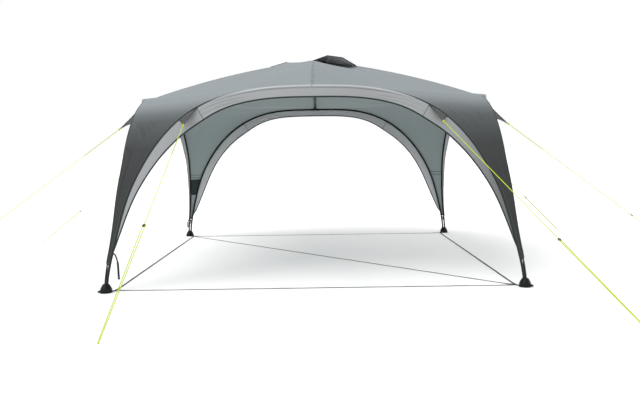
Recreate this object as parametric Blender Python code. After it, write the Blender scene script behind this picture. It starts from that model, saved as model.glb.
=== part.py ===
"""Camping shelter: a square dome canopy on four feet, eight arch poles and four ridge poles.

Everything is in metres with +Z up. The origin is on the ground, midway between the four feet.
The front arch spans X on the -Y side, and the other three sides repeat it in quarter turns.
"""
import math

import bmesh
import bpy
from mathutils import Matrix, Vector

# Overall form of the pole frame
FOOT_SPACING = 3.5
HALF_SPAN = FOOT_SPACING / 2
ARCH_RISE = 1.7066
ARCH_SPAN_POWER = 2.96
ARCH_RISE_POWER = 1.705
ARCH_BOW = 0.094
ARCH_LEAN = 0.051
BOW_END = 0.5
LEAN_START = 0.85
LEG_BEND = 0.014
LEG_BEND_HEIGHT = 0.92
POLE_PAIR_SPLIT = 0.021
HUB_HEIGHT = 2.112
RIDGE_CURVE = 0.065

# The top of the front arch has settled a little lower than the other three
FRONT_SETTLE = 0.034
SETTLE_HALF_WIDTH = 1.08
SETTLE_POWER = 1.3
SETTLE_REACH = (0.9, 1.8)
SETTLE_HEIGHTS = (1.2, 1.55)

# Poles and hubs
POLE_RADIUS = 0.0095
HUB_RADIUS = 0.012
HUB_ARM = 0.06
RIDGE_ARM = 0.07
CENTRE_ARM = 0.09
ARM_RADIUS = 0.0112
CENTRE_DISC_RADIUS = 0.045
CENTRE_DISC_HALF = 0.0118
CENTRE_DISC_DROP = 0.0115
JOINT_GAP = 0.0005
POLE_LEAD = 0.015
ROD_SIDES = 14
DISC_SIDES = 24

# Feet: a bell with a peg lug on the outer side and a strap eye on the inner side
FOOT_HEIGHT = 0.074
FOOT_PROFILE = ((0.047, 0.0), (0.052, 0.006), (0.0505, 0.020), (0.045, 0.038), (0.036, 0.055),
                (0.029, 0.066), (0.027, FOOT_HEIGHT))
FOOT_SIDES = 20
LUG_ROOT = 0.030
LUG_REACH = 0.074
LUG_WIDTH = 0.028
LUG_THICKNESS = 0.010
LUG_HEIGHT = 0.020
LUG_SLOPE = math.radians(18)
EYE_INSET = 0.060
EYE_RADIUS = 0.013
EYE_LOW = 0.0015
EYE_HIGH = 0.0075
EYE_NECK_WIDTH = 0.012

# Fabric
CLOTH = 0.003
CLOTH_GAP = 0.0004
SEAM_GAP = 0.0005
HEM_HEIGHT = 0.235
ARCH_STEPS = 18
RIDGE_STEPS = 7
PANEL_STEPS = 8
CORNER_SAG = 0.012
SAG_PEAK = 0.75 ** 3 * 0.25
ROOF_SAG = 0.018
SAG_RAMP = 0.5
SLOPE_STEP = 0.01
ROOF_START = 0.014
ROOF_SEAM_GAP = 0.0095

# Visor, the strip that hangs from each arch
VISOR_WIDTH = 0.124
VISOR_START = 0.27
VISOR_FULL = 1.53
VISOR_POWER = 0.8
VISOR_NARROWING = 0.036
NARROWING_START = 1.45
VISOR_TIP = 0.006
VISOR_FLARE = 0.10
VISOR_WRAP_STEPS = 3
VISOR_LAP = 0.0007

# Guy tabs, guy lines and their runners
TAB_SPAN = (0.959, 1.114)
TAB_TIP = Vector((1.053, -1.785, 1.391))
TAB_TIP_WIDTH = 0.016
TAB_ROOT = POLE_RADIUS + CLOTH_GAP + 0.0017
TAB_THICKNESS = 0.0024
GUY_RADIUS = 0.002
GUY_GROUND = 0.0026
GUY_LOOP = 0.012
STRANDS_AT_RUNNER = 0.018
STRANDS_AT_GROUND = 0.008
STRAND_LEAD = 0.026
STRAND_END = 0.012
LOOP_LENGTH = 0.010
RUNNER_RADIUS = 0.0125
RUNNER_HALF = 0.005
RUNNER_OFFSET = 0.008
RUNNER_SIDES = 12

# Quarter turns, side, peg place on the ground, and how far down the line its runner sits
GUY_LINES = {
    "front_left": (0, -1, (-1.325, -3.190), 0.53),
    "front_right": (0, 1, (2.071, -3.194), 0.62),
    "right_front": (1, -1, (3.430, -1.695), 0.60),
    "right_rear": (1, 1, (3.353, 1.824), 0.65),
    "left_rear": (3, -1, (-3.572, 1.267), 0.70),
    "left_front": (3, 1, (-3.490, -1.720), 0.60),
}

# Base straps, which lie on the ground between the strap eyes of the feet
STRAP_WIDTH = 0.020
STRAP_THICKNESS = 0.0016
STRAP_END_HEIGHT = 0.0037
STRAP_END_WIDTH = 0.008
STRAP_TAPER = 0.02
STRAP_LANDING = 0.15

# Vents on the front right and rear left roof panels
VENT_REACH = 0.45
VENT_HEIGHT = 0.065
VENT_SHOULDERS = (0.31, 0.34)
VENT_GAP = 0.0004
VENT_STEPS = 4
MESH_START = 0.10
HOOD_OVERHANG = 0.01

# Small fabric pieces
POCKET_LOW = 0.58
POCKET_HIGH = 0.775
POCKET_DEPTH = (-0.001, 0.0066)
POCKET_MARGIN = POLE_RADIUS + 0.0008
POCKET_STEPS = 3
FRONT_TIE_HEIGHT = 0.32
REAR_TIE_HEIGHT = 0.226
TIE_RADIUS = 0.0065
TIE_SIDES = 2

# Outward and downward distances along each loose webbing end, from the pole's surface
FRONT_TIE = ((0.0024, 0.0), (0.008, 0.0), (0.020, 0.022), (0.033, 0.077), (0.038, 0.215))
REAR_TIE = ((0.0009, 0.0), (0.006, 0.0), (0.014, 0.020), (0.017, 0.050), (0.018, 0.100))

SIDES = ("front", "right", "rear", "left")
CORNERS = ("front_right", "rear_right", "rear_left", "front_left")
UP = Vector((0.0, 0.0, 1.0))


def smooth_step(value):
    """Ease from 0 to 1 with level ends."""
    value = min(1.0, max(0.0, value))
    return value * value * (3 - 2 * value)


def settle(point):
    """Where a point lies once the top of the front arch has settled."""
    across = max(0.0, 1 - (point.x / SETTLE_HALF_WIDTH) ** 2) ** SETTLE_POWER
    near, far = SETTLE_REACH
    low, high = SETTLE_HEIGHTS
    share = across * smooth_step((-point.y - near) / (far - near)) * smooth_step((point.z - low) / (high - low))
    return Vector((point.x, point.y, point.z - FRONT_SETTLE * share))


def clear_scene():
    for scene_object in list(bpy.data.objects):
        bpy.data.objects.remove(scene_object, do_unlink=True)


def make_material(name, colour, roughness, metallic=0.0):
    material = bpy.data.materials.new(name)
    material.use_nodes = True
    shader = material.node_tree.nodes["Principled BSDF"]
    shader.inputs["Base Color"].default_value = (*colour, 1.0)
    shader.inputs["Roughness"].default_value = roughness
    shader.inputs["Metallic"].default_value = metallic
    return material


def add_object(name, shape, material, smooth=False):
    """Turn a bmesh into a named object in the scene."""
    mesh = bpy.data.meshes.new(name)
    bmesh.ops.recalc_face_normals(shape, faces=shape.faces)
    for vert in shape.verts:
        vert.co = settle(vert.co)
    shape.to_mesh(mesh)
    shape.free()
    if smooth:
        mesh.shade_smooth()
        mesh.set_sharp_from_angle(angle=math.radians(40))
    mesh.materials.append(material)
    new_object = bpy.data.objects.new(name, mesh)
    bpy.context.scene.collection.objects.link(new_object)
    return new_object


def fuse(base, helper):
    """Join a helper shape to a base object, and keep the helper as a hidden guide."""
    helper.hide_render = True
    helper.display_type = "WIRE"
    helper.parent = base
    union = base.modifiers.new("Fuse " + helper.name, "BOOLEAN")
    union.operation = "UNION"
    union.solver = "EXACT"
    union.object = helper


def tube(points, radius, resolution=3):
    """Sweep a round section along a polyline and return it as a closed bmesh."""
    curve = bpy.data.curves.new("route", "CURVE")
    curve.dimensions = "3D"
    curve.bevel_depth = radius
    curve.bevel_resolution = resolution
    curve.use_fill_caps = True
    spline = curve.splines.new("POLY")
    spline.points.add(len(points) - 1)
    for spline_point, point in zip(spline.points, points):
        spline_point.co = (*point, 1.0)
    guide = bpy.data.objects.new("route", curve)
    bpy.context.scene.collection.objects.link(guide)
    bpy.context.view_layer.update()
    mesh = bpy.data.meshes.new_from_object(guide.evaluated_get(bpy.context.evaluated_depsgraph_get()))
    bpy.data.objects.remove(guide, do_unlink=True)
    shape = bmesh.new()
    shape.from_mesh(mesh)
    bmesh.ops.remove_doubles(shape, verts=shape.verts, dist=1e-6)
    bpy.data.meshes.remove(mesh)
    return shape


def block(centre, axis_x, axis_y, axis_z, size):
    """A box of the given size, turned to three unit axes."""
    shape = bmesh.new()
    bmesh.ops.create_cube(shape, size=1.0)
    turn = Matrix((axis_x, axis_y, axis_z)).transposed().to_4x4()
    place = Matrix.Translation(centre) @ turn @ Matrix.Diagonal((*size, 1.0))
    bmesh.ops.transform(shape, matrix=place, verts=shape.verts)
    return shape


def rod(start, end, radius, sides=ROD_SIDES):
    """A plain capped cylinder between two points."""
    shape = bmesh.new()
    axis = end - start
    bmesh.ops.create_cone(shape, cap_ends=True, segments=sides, radius1=radius, radius2=radius,
                          depth=axis.length)
    turn = axis.to_track_quat("Z", "Y").to_matrix().to_4x4()
    bmesh.ops.transform(shape, matrix=Matrix.Translation((start + end) / 2) @ turn, verts=shape.verts)
    return shape


def sheet(rows):
    """A grid of quads through rows of points."""
    shape = bmesh.new()
    grid = [[shape.verts.new(point) for point in row] for row in rows]
    for lower, upper in zip(grid, grid[1:]):
        for index in range(len(lower) - 1):
            shape.faces.new((lower[index], lower[index + 1], upper[index + 1], upper[index]))
    return shape


def add_sheet(name, rows, material, outward, thickness=CLOTH):
    """A sheet of cloth, thickened on the side that faces along the outward direction."""
    shape = sheet(rows)
    shape.normal_update()
    total = sum((face.normal * face.calc_area() for face in shape.faces), Vector())
    if total.dot(outward) < 0:
        bmesh.ops.reverse_faces(shape, faces=shape.faces)
    mesh = bpy.data.meshes.new(name)
    for vert in shape.verts:
        vert.co = settle(vert.co)
    shape.to_mesh(mesh)
    shape.free()
    mesh.materials.append(material)
    cloth = bpy.data.objects.new(name, mesh)
    bpy.context.scene.collection.objects.link(cloth)
    solid = cloth.modifiers.new("Cloth thickness", "SOLIDIFY")
    solid.thickness = thickness
    solid.offset = 1.0
    solid.use_even_offset = True
    return cloth


def quarter_turn(point, turns):
    """Rotate a point about the vertical axis by quarter turns."""
    return Matrix.Rotation(turns * math.pi / 2, 3, "Z") @ Vector(point)


def turn_shape(shape, turns):
    bmesh.ops.rotate(shape, cent=(0, 0, 0), verts=shape.verts,
                     matrix=Matrix.Rotation(turns * math.pi / 2, 3, "Z"))


def arch_curve(progress):
    """Centre of the right half of the front arch pole, from foot (0) to apex (1)."""
    angle = progress * math.pi / 2
    foot_half = HALF_SPAN - POLE_PAIR_SPLIT / 2
    height = ARCH_RISE * math.sin(angle) ** (2 / ARCH_RISE_POWER)
    along = foot_half * max(0.0, math.cos(angle)) ** (2 / ARCH_SPAN_POWER)
    bend = LEG_BEND * math.sin(math.pi * min(1.0, height / LEG_BEND_HEIGHT)) ** 2
    inward = ARCH_BOW * smooth_step(progress / BOW_END)
    outward = (ARCH_BOW + ARCH_LEAN) * smooth_step((progress - LEAN_START) / (1 - LEAN_START))
    plane = HALF_SPAN + POLE_PAIR_SPLIT / 2 - inward + outward
    return Vector((along - bend, bend - plane, height))


def evenly_spaced(points, steps):
    """Resample a dense polyline into equal steps along its length."""
    lengths = [0.0]
    for before, after in zip(points, points[1:]):
        lengths.append(lengths[-1] + (after - before).length)
    chosen = []
    index = 0
    for step in range(steps + 1):
        target = lengths[-1] * step / steps
        while index < len(points) - 2 and lengths[index + 1] < target:
            index += 1
        share = (target - lengths[index]) / max(1e-9, lengths[index + 1] - lengths[index])
        chosen.append(points[index].lerp(points[index + 1], share))
    return chosen


HEM_INDEX = 2


def arch_stations():
    """Centre points of the right half of the front arch that its poles and cloth share."""
    fine = 2000
    dense = [arch_curve(index / fine) for index in range(fine + 1)]
    leg = [point for point in dense if FOOT_HEIGHT + JOINT_GAP <= point.z < HEM_HEIGHT]
    span = [point for point in dense if point.z >= HEM_HEIGHT and point.x >= HUB_ARM]
    apex = Vector((0.0, dense[-1].y, dense[-1].z))
    return evenly_spaced(leg + span[:1], HEM_INDEX)[:-1] + evenly_spaced(span, ARCH_STEPS) + [apex]


ARCH = arch_stations()
LAST = len(ARCH) - 1
APEX_REACH = -ARCH[-1].y
RIDGE_FALL = (HUB_HEIGHT - ARCH_RISE - RIDGE_CURVE * APEX_REACH ** 2) / APEX_REACH


def ridge_point(reach):
    """Centre of the front ridge pole at a distance from the middle of the roof."""
    return Vector((0.0, -reach, HUB_HEIGHT - RIDGE_FALL * reach - RIDGE_CURVE * reach ** 2))


def ridge_reaches():
    """Distances from the middle that the ridge poles and the roof cloth share."""
    inner = [CENTRE_ARM + (VENT_REACH - CENTRE_ARM) * step / VENT_STEPS for step in range(VENT_STEPS + 1)]
    outer_end = APEX_REACH - RIDGE_ARM
    steps = [VENT_REACH + (outer_end - VENT_REACH) * step / RIDGE_STEPS for step in range(1, RIDGE_STEPS + 1)]
    return inner + steps


RIDGE = ridge_reaches()


def cloth_offset(index):
    """Distance from a pole's centre to the cloth over it, larger where it crosses a hub."""
    radius = HUB_RADIUS if index >= LAST - 1 else POLE_RADIUS
    return radius + CLOTH_GAP


def corner_pair(index):
    """Front and right arch centres at one station, the two edges of the front right corner."""
    return ARCH[index], mirror_corner(ARCH[index])


def mirror_corner(vector):
    """Swap the front and right arches of the front right corner."""
    return Vector((-vector.y, -vector.x, vector.z))


def station_tangent(index):
    if index == LAST:
        return Vector((-1.0, 0.0, 0.0))
    return (ARCH[index + 1] - ARCH[max(0, index - 1)]).normalized()


def corner_normal(index):
    """Direction in which the corner cloth leaves the front arch pole."""
    front, right = corner_pair(index)
    normal = station_tangent(index).cross(right - front).normalized()
    return normal if normal.dot(Vector((1, -1, 1))) > 0 else -normal


def corner_row(index):
    """Points across the front right corner cloth at one station."""
    front, right = corner_pair(index)
    normal = corner_normal(index)
    offset = cloth_offset(index)
    start = front + normal * offset
    end = right + mirror_corner(normal) * offset
    rise = (index - HEM_INDEX) / (LAST - HEM_INDEX)
    middle_normal = (normal + mirror_corner(normal)).normalized()
    row = []
    for step in range(PANEL_STEPS + 1):
        across = step / PANEL_STEPS
        sag = CORNER_SAG * rise ** 3 * (1 - rise) / SAG_PEAK * math.sin(math.pi * across) ** 2
        row.append(start.lerp(end, across) - middle_normal * sag)
    return row


def roof_row(reach, hub):
    """Points across the front right roof cloth at one distance from the middle."""
    front = ridge_point(reach)
    right = mirror_corner(front)
    slope = (ridge_point(reach + SLOPE_STEP) - ridge_point(reach)).normalized()
    normal = slope.cross(right - front).normalized()
    normal = normal if normal.z > 0 else -normal
    offset = (HUB_RADIUS if hub else POLE_RADIUS) + CLOTH_GAP
    middle_normal = (normal + mirror_corner(normal)).normalized()
    start = front + normal * offset
    end = right + mirror_corner(normal) * offset
    spread = smooth_step((reach - VENT_REACH) / SAG_RAMP) * smooth_step((APEX_REACH - reach) / SAG_RAMP)
    row = []
    for step in range(PANEL_STEPS + 1):
        across = step / PANEL_STEPS
        sag = ROOF_SAG * spread * math.sin(math.pi * across) ** 2
        row.append(start.lerp(end, across) - middle_normal * sag)
    return row


def turned_rows(rows, turns):
    return [[quarter_turn(point, turns) for point in row] for row in rows]


def foot_bell(centre):
    """The round body of a foot, turned from its profile."""
    shape = bmesh.new()
    verts = [shape.verts.new((radius, 0.0, height)) for radius, height in FOOT_PROFILE]
    edges = [shape.edges.new(pair) for pair in zip(verts, verts[1:])]
    bmesh.ops.spin(shape, geom=verts + edges, cent=(0, 0, 0), axis=(0, 0, 1),
                   angle=math.tau, steps=FOOT_SIDES, use_merge=True)
    bmesh.ops.remove_doubles(shape, verts=shape.verts, dist=1e-5)
    bmesh.ops.holes_fill(shape, edges=[edge for edge in shape.edges if edge.is_boundary])
    bmesh.ops.translate(shape, vec=centre, verts=shape.verts)
    return shape


def build_feet(material):
    centre = Vector((HALF_SPAN, -HALF_SPAN, 0.0))
    outward = Vector((1, -1, 0)).normalized()
    across = Vector((1, 1, 0)).normalized()
    lug_run = outward * math.cos(LUG_SLOPE) - UP * math.sin(LUG_SLOPE)
    lug_lift = lug_run.cross(across).normalized()
    lug_centre = centre + outward * (LUG_ROOT + LUG_REACH) / 2 + UP * LUG_HEIGHT
    lug_size = (LUG_REACH - LUG_ROOT, LUG_WIDTH, LUG_THICKNESS)
    eye_centre = centre - outward * EYE_INSET * math.sqrt(2)
    neck_size = (EYE_INSET * math.sqrt(2), EYE_NECK_WIDTH, EYE_HIGH - EYE_LOW)
    neck_centre = (centre + eye_centre) / 2 + UP * (EYE_LOW + EYE_HIGH) / 2
    for turns, corner in enumerate(CORNERS):
        bell = foot_bell(centre)
        lug = block(lug_centre, lug_run, across, lug_lift, lug_size)
        neck = block(neck_centre, outward, across, UP, neck_size)
        eye = rod(eye_centre + UP * EYE_LOW, eye_centre + UP * EYE_HIGH, EYE_RADIUS)
        for piece in (bell, lug, neck, eye):
            turn_shape(piece, turns)
        foot = add_object("foot_" + corner, bell, material, smooth=True)
        for part_name, piece in (("lug", lug), ("neck", neck), ("eye", eye)):
            fuse(foot, add_object(f"{part_name}_guide_{corner}", piece, material))


def half_names(side_index):
    """Names of the sides before and after one side, counter-clockwise."""
    return SIDES[(side_index - 1) % 4], SIDES[(side_index + 1) % 4]


def build_arch_poles(material):
    foot_end = Vector((ARCH[0].x, ARCH[0].y, FOOT_HEIGHT + JOINT_GAP))
    route = [foot_end, foot_end + UP * POLE_LEAD, *ARCH[1:-1]]
    for turns, side in enumerate(SIDES):
        before, after = half_names(turns)
        for sign, neighbour in ((1, after), (-1, before)):
            points = [quarter_turn((sign * point.x, point.y, point.z), turns) for point in route]
            add_object(f"arch_pole_{side}_{neighbour}", tube(points, POLE_RADIUS), material, smooth=True)


def build_ridge_poles(material):
    route = [ridge_point(reach) for reach in RIDGE]
    for turns, side in enumerate(SIDES):
        points = [quarter_turn(point, turns) for point in route]
        add_object("ridge_pole_" + side, tube(points, POLE_RADIUS), material, smooth=True)


def build_hubs(material):
    apex = ARCH[-1]
    arm_end = ridge_point(RIDGE[-1])
    arm_end += (apex - arm_end).normalized() * JOINT_GAP
    for turns, side in enumerate(SIDES):
        left = quarter_turn((-HUB_ARM + JOINT_GAP, apex.y, apex.z), turns)
        right = quarter_turn((HUB_ARM - JOINT_GAP, apex.y, apex.z), turns)
        bar = add_object("apex_hub_" + side, rod(left, right, HUB_RADIUS), material, smooth=True)
        arm = rod(quarter_turn(apex, turns), quarter_turn(arm_end, turns), ARM_RADIUS)
        fuse(bar, add_object("arm_guide_" + side, arm, material))
    centre = Vector((0, 0, HUB_HEIGHT))
    disc_top = centre + UP * (CENTRE_DISC_HALF - CENTRE_DISC_DROP)
    disc_base = centre - UP * (CENTRE_DISC_HALF + CENTRE_DISC_DROP)
    disc = rod(disc_base, disc_top, CENTRE_DISC_RADIUS, DISC_SIDES)
    hub = add_object("centre_hub", disc, material, smooth=True)
    inner = ridge_point(CENTRE_ARM)
    inner -= (inner - centre).normalized() * JOINT_GAP
    for turns, side in enumerate(SIDES):
        arm = rod(quarter_turn(centre, turns), quarter_turn(inner, turns), ARM_RADIUS)
        fuse(hub, add_object("spoke_guide_" + side, arm, material))


def build_corner_panels(material):
    rows = [corner_row(index) for index in range(HEM_INDEX, len(ARCH))]
    for turns, corner in enumerate(CORNERS):
        outward = quarter_turn((1, -1, 1), turns)
        add_sheet("corner_panel_" + corner, turned_rows(rows, turns), material, outward)


def build_roof_panels(material):
    seam_reach = APEX_REACH - ROOF_SEAM_GAP
    full = [ROOF_START, CENTRE_ARM, *RIDGE[1:], seam_reach]
    for turns, corner in enumerate(CORNERS):
        reaches = [*RIDGE[VENT_STEPS:], seam_reach] if turns in (0, 2) else full
        rows = []
        for reach in reaches:
            over_hub = reach <= CENTRE_ARM or reach >= RIDGE[-1]
            rows.append(roof_row(reach, over_hub))
        add_sheet("roof_panel_" + corner, turned_rows(rows, turns), material, UP)


def visor_width(height):
    """Width of the visor below its pole at one height up the arch."""
    share = min(1.0, max(0.0, (height - VISOR_START) / (VISOR_FULL - VISOR_START)))
    narrowing = smooth_step((height - NARROWING_START) / (ARCH_RISE - NARROWING_START))
    return max(VISOR_TIP, VISOR_WIDTH * share ** VISOR_POWER - VISOR_NARROWING * narrowing)


def visor_section(index):
    """Points across the visor at one station of the front arch's right half."""
    centre = ARCH[index]
    tangent = station_tangent(index)
    away = Vector((0, -1, 0))
    above = away.cross(tangent).normalized()
    above = above if above.z + above.x > 0 else -above
    away = tangent.cross(above).normalized()
    away = away if away.y < 0 else -away
    radius = cloth_offset(index)
    normal = corner_normal(index)
    lap = math.atan2(normal.dot(away), normal.dot(above)) + VISOR_LAP / radius
    points = []
    turn = (math.pi / 2 - lap) / VISOR_WRAP_STEPS
    around = radius / math.cos(turn / 2)
    for step in range(VISOR_WRAP_STEPS + 1):
        angle = lap + turn * step
        points.append(centre + (above * math.cos(angle) + away * math.sin(angle)) * around)
    width = visor_width(centre.z)
    for share in (0.5, 1.0):
        points.append(centre + away * (around + VISOR_FLARE * width * share) - above * width * share)
    return points


def tab_corners():
    """Corners of the right guy tab of the front arch, and the direction of its upper face."""
    roots = []
    for along in TAB_SPAN:
        upper = next(index for index in range(len(ARCH)) if ARCH[index].x <= along)
        before = ARCH[upper - 1]
        after = ARCH[upper]
        share = (before.x - along) / (before.x - after.x)
        roots.append(before.lerp(after, share) + Vector((0, -TAB_ROOT, 0)))
    along_tip = (roots[1] - roots[0]).normalized() * TAB_TIP_WIDTH / 2
    corners = [roots[0], roots[1], TAB_TIP + along_tip, TAB_TIP - along_tip]
    normal = (corners[1] - corners[0]).cross(corners[3] - corners[0]).normalized()
    return corners, normal if normal.z > 0 else -normal


def tab_shape(sign):
    """A guy tab on the front arch, from its sewn root to its narrow tip."""
    corners, normal = tab_corners()
    shape = bmesh.new()
    lower = [shape.verts.new(point) for point in corners]
    upper = [shape.verts.new(point + normal * TAB_THICKNESS) for point in corners]
    shape.faces.new(lower)
    shape.faces.new(list(reversed(upper)))
    for index in range(4):
        following = (index + 1) % 4
        shape.faces.new((lower[index], upper[index], upper[following], lower[following]))
    bmesh.ops.scale(shape, vec=(sign, 1, 1), verts=shape.verts)
    return shape


def build_visors(material):
    half = [visor_section(index) for index in range(HEM_INDEX, len(ARCH))]
    other = [[Vector((-point.x, point.y, point.z)) for point in row] for row in reversed(half[:-1])]
    rows = half + other
    for turns, side in enumerate(SIDES):
        outward = quarter_turn((0, -1, 0), turns)
        visor = add_sheet("visor_" + side, turned_rows(rows, turns), material, outward)
        before, after = half_names(turns)
        for sign, neighbour in ((1, after), (-1, before)):
            tab = tab_shape(sign)
            turn_shape(tab, turns)
            fuse(visor, add_object(f"tab_guide_{side}_{neighbour}", tab, material))


def build_guy_lines(cord_material, runner_material):
    corners, normal = tab_corners()
    tab_end = TAB_TIP + normal * TAB_THICKNESS / 2
    tab_run = normal.cross(corners[1] - corners[0]).normalized()
    if tab_run.dot(TAB_TIP - corners[0]) < 0:
        tab_run.negate()
    start_place = tab_end + tab_run * CLOTH_GAP
    bend_place = tab_end + tab_run * GUY_LOOP
    for name, (turns, sign, peg, runner_share) in GUY_LINES.items():
        start, tip = (quarter_turn((sign * place.x, place.y, place.z), turns)
                      for place in (start_place, bend_place))
        ground = Vector((*peg, GUY_GROUND))
        run = (ground - tip).normalized()
        across = run.cross(UP).normalized()
        lift = across.cross(run).normalized()
        runner = tip.lerp(ground, runner_share)
        wide = across * STRANDS_AT_RUNNER / 2
        narrow = across * STRANDS_AT_GROUND / 2
        route = [start, tip, runner, runner + wide + run * STRAND_LEAD, ground + narrow - run * LOOP_LENGTH,
                 ground, ground - narrow - run * LOOP_LENGTH, runner - wide + run * STRAND_END]
        line = add_object("guy_line_" + name, tube(route, GUY_RADIUS, 2), cord_material, smooth=True)
        runner_centre = runner + run * RUNNER_OFFSET
        runner_disc = rod(runner_centre - lift * RUNNER_HALF, runner_centre + lift * RUNNER_HALF,
                          RUNNER_RADIUS, RUNNER_SIDES)
        fuse(line, add_object("runner_guide_" + name, runner_disc, runner_material))


def strap_rows(half_length, along, across, middle):
    """Rows along a ground strap, level on the ground and lifted and tapered to the strap eyes."""
    taper_height = STRAP_END_HEIGHT * (1 - STRAP_TAPER / STRAP_LANDING)
    end_half = ((half_length, STRAP_END_HEIGHT, STRAP_END_WIDTH),
                (half_length - STRAP_TAPER, taper_height, STRAP_WIDTH),
                (half_length - STRAP_LANDING, 0.0, STRAP_WIDTH))
    other_half = [(-reach, height, width) for reach, height, width in reversed(end_half)]
    rows = []
    for reach, height, width in (*end_half, *other_half):
        centre = middle + along * reach + UP * height
        rows.append([centre - across * width / 2, centre + across * width / 2])
    return rows


def build_straps(material):
    eye_place = HALF_SPAN - EYE_INSET
    end_gap = EYE_RADIUS + JOINT_GAP
    side_rows = strap_rows(eye_place - end_gap, Vector((1, 0, 0)), Vector((0, 1, 0)),
                           Vector((0, -eye_place, 0)))
    for turns, side in enumerate(SIDES):
        add_sheet("base_strap_" + side, turned_rows(side_rows, turns), material, UP, STRAP_THICKNESS)
    along = Vector((1, -1, 0)).normalized()
    across = Vector((1, 1, 0)).normalized()
    rows = strap_rows(math.sqrt(2) * eye_place - end_gap, along, across, Vector((0, 0, 0)))
    add_sheet("base_strap_diagonal", rows, material, UP, STRAP_THICKNESS)


def hood_rise(across):
    """Height of the vent's rim over the roof, from one ridge (0) to the next (1)."""
    first, second = VENT_SHOULDERS
    return VENT_HEIGHT * min(1.0, across / first, (1 - across) / second)


def build_vents(hood_material, mesh_material):
    mesh_reaches = [MESH_START, *RIDGE[1:VENT_STEPS], VENT_REACH - 2 * SEAM_GAP]
    mesh_rows = [roof_row(reach, False) for reach in mesh_reaches]
    hood_rows = []
    for reach in (ROOF_START, *RIDGE[:VENT_STEPS], VENT_REACH + HOOD_OVERHANG):
        row = []
        for index, point in enumerate(roof_row(reach, reach <= CENTRE_ARM)):
            lift = CLOTH + VENT_GAP + reach / VENT_REACH * hood_rise(index / PANEL_STEPS)
            row.append(point + UP * lift)
        hood_rows.append(row)
    for turns in (0, 2):
        corner = CORNERS[turns]
        add_sheet("vent_mesh_" + corner, turned_rows(mesh_rows, turns), mesh_material, UP)
        add_sheet("vent_hood_" + corner, turned_rows(hood_rows, turns), hood_material, UP)


def arch_at_height(height):
    """Front right corner's two pole centres at a height on the leg."""
    upper = next(index for index in range(len(ARCH)) if ARCH[index].z >= height)
    before = ARCH[upper - 1]
    after = ARCH[upper]
    share = (height - before.z) / (after.z - before.z)
    front = before.lerp(after, share)
    return front, mirror_corner(front)


def build_pocket(material):
    """The pocket between the two poles of the rear left leg."""
    rows = []
    for step in range(POCKET_STEPS + 1):
        height = POCKET_LOW + (POCKET_HIGH - POCKET_LOW) * step / POCKET_STEPS
        front, right = arch_at_height(height)
        across = (right - front).normalized()
        outward = across.cross(UP).normalized()
        outward = outward if outward.x > 0 else -outward
        near = front + across * POCKET_MARGIN + outward * POCKET_DEPTH[0]
        far = right - across * POCKET_MARGIN + outward * POCKET_DEPTH[0]
        rows.append([quarter_turn(near.lerp(far, share), 2) for share in (0.0, 0.5, 1.0)])
    outward = quarter_turn((1, -1, 0), 2)
    add_sheet("corner_pocket", rows, material, outward, POCKET_DEPTH[1] - POCKET_DEPTH[0])


def build_ties(material):
    """The loose webbing ends: inside the front left leg, and outside the rear left leg."""
    inner_pole = arch_at_height(FRONT_TIE_HEIGHT)[0]
    outer_pole = arch_at_height(REAR_TIE_HEIGHT)[1]
    for corner, turns, sign, pole, direction, profile in (
            ("front_left", 0, -1, inner_pole, Vector((-1, 0, 0)), FRONT_TIE),
            ("rear_left", 2, 1, outer_pole, Vector((1, 0, 0)), REAR_TIE)):
        route = []
        for out, down in profile:
            point = pole + direction * (POLE_RADIUS + out) - UP * down
            route.append(quarter_turn((sign * point.x, point.y, point.z), turns))
        add_object("leg_tie_" + corner, tube(route, TIE_RADIUS, TIE_SIDES), material, smooth=True)


def main():
    clear_scene()
    black_plastic = make_material("black moulded plastic", (0.012, 0.014, 0.014), 0.45)
    black_steel = make_material("black painted steel", (0.014, 0.016, 0.016), 0.35)
    roof_cloth = make_material("blue grey roof cloth", (0.36, 0.40, 0.41), 0.6)
    corner_cloth = make_material("charcoal corner cloth", (0.05, 0.053, 0.053), 0.6)
    visor_cloth = make_material("light grey visor cloth", (0.40, 0.41, 0.42), 0.6)
    hood_cloth = make_material("charcoal hood cloth", (0.03, 0.032, 0.033), 0.6)
    mesh_cloth = make_material("black mesh", (0.01, 0.01, 0.01), 0.8)
    cord = make_material("lime guy line", (0.50, 0.78, 0.03), 0.6)
    webbing = make_material("dark webbing", (0.03, 0.034, 0.036), 0.7)
    build_feet(black_plastic)
    build_arch_poles(black_steel)
    build_ridge_poles(black_steel)
    build_hubs(black_plastic)
    build_corner_panels(corner_cloth)
    build_roof_panels(roof_cloth)
    build_visors(visor_cloth)
    build_guy_lines(cord, black_plastic)
    build_straps(webbing)
    build_vents(hood_cloth, mesh_cloth)
    build_pocket(webbing)
    build_ties(webbing)


main()
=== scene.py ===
"""Camping shelter, dressed: canopy, visors, vents, poles, hubs, feet, straps and guy lines.

Lengths are in metres and +Z is up. The front archway faces -Y, and the other three sides repeat
it in quarter turns, so most pieces are worked out once, for the front or the front right corner.
"""
import math

import bmesh
import bpy
from bpy.props import FloatProperty, FloatVectorProperty, PointerProperty
from mathutils import Matrix, Vector


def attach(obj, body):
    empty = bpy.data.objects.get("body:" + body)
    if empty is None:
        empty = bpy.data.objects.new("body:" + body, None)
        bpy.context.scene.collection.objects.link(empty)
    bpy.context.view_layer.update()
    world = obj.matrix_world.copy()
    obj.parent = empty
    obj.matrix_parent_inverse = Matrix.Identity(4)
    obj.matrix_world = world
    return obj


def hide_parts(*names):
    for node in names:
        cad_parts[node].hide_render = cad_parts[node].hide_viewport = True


bl_info = {
    "name": "Camping Shelter Dresser",
    "version": (1, 0, 0),
    "blender": (4, 5, 0),
    "location": "3D View > Sidebar > Shelter",
    "description": "Dresses the frame of a square camping shelter with cloth, cord, webbing and fittings",
    "category": "Add Mesh",
}

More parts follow.
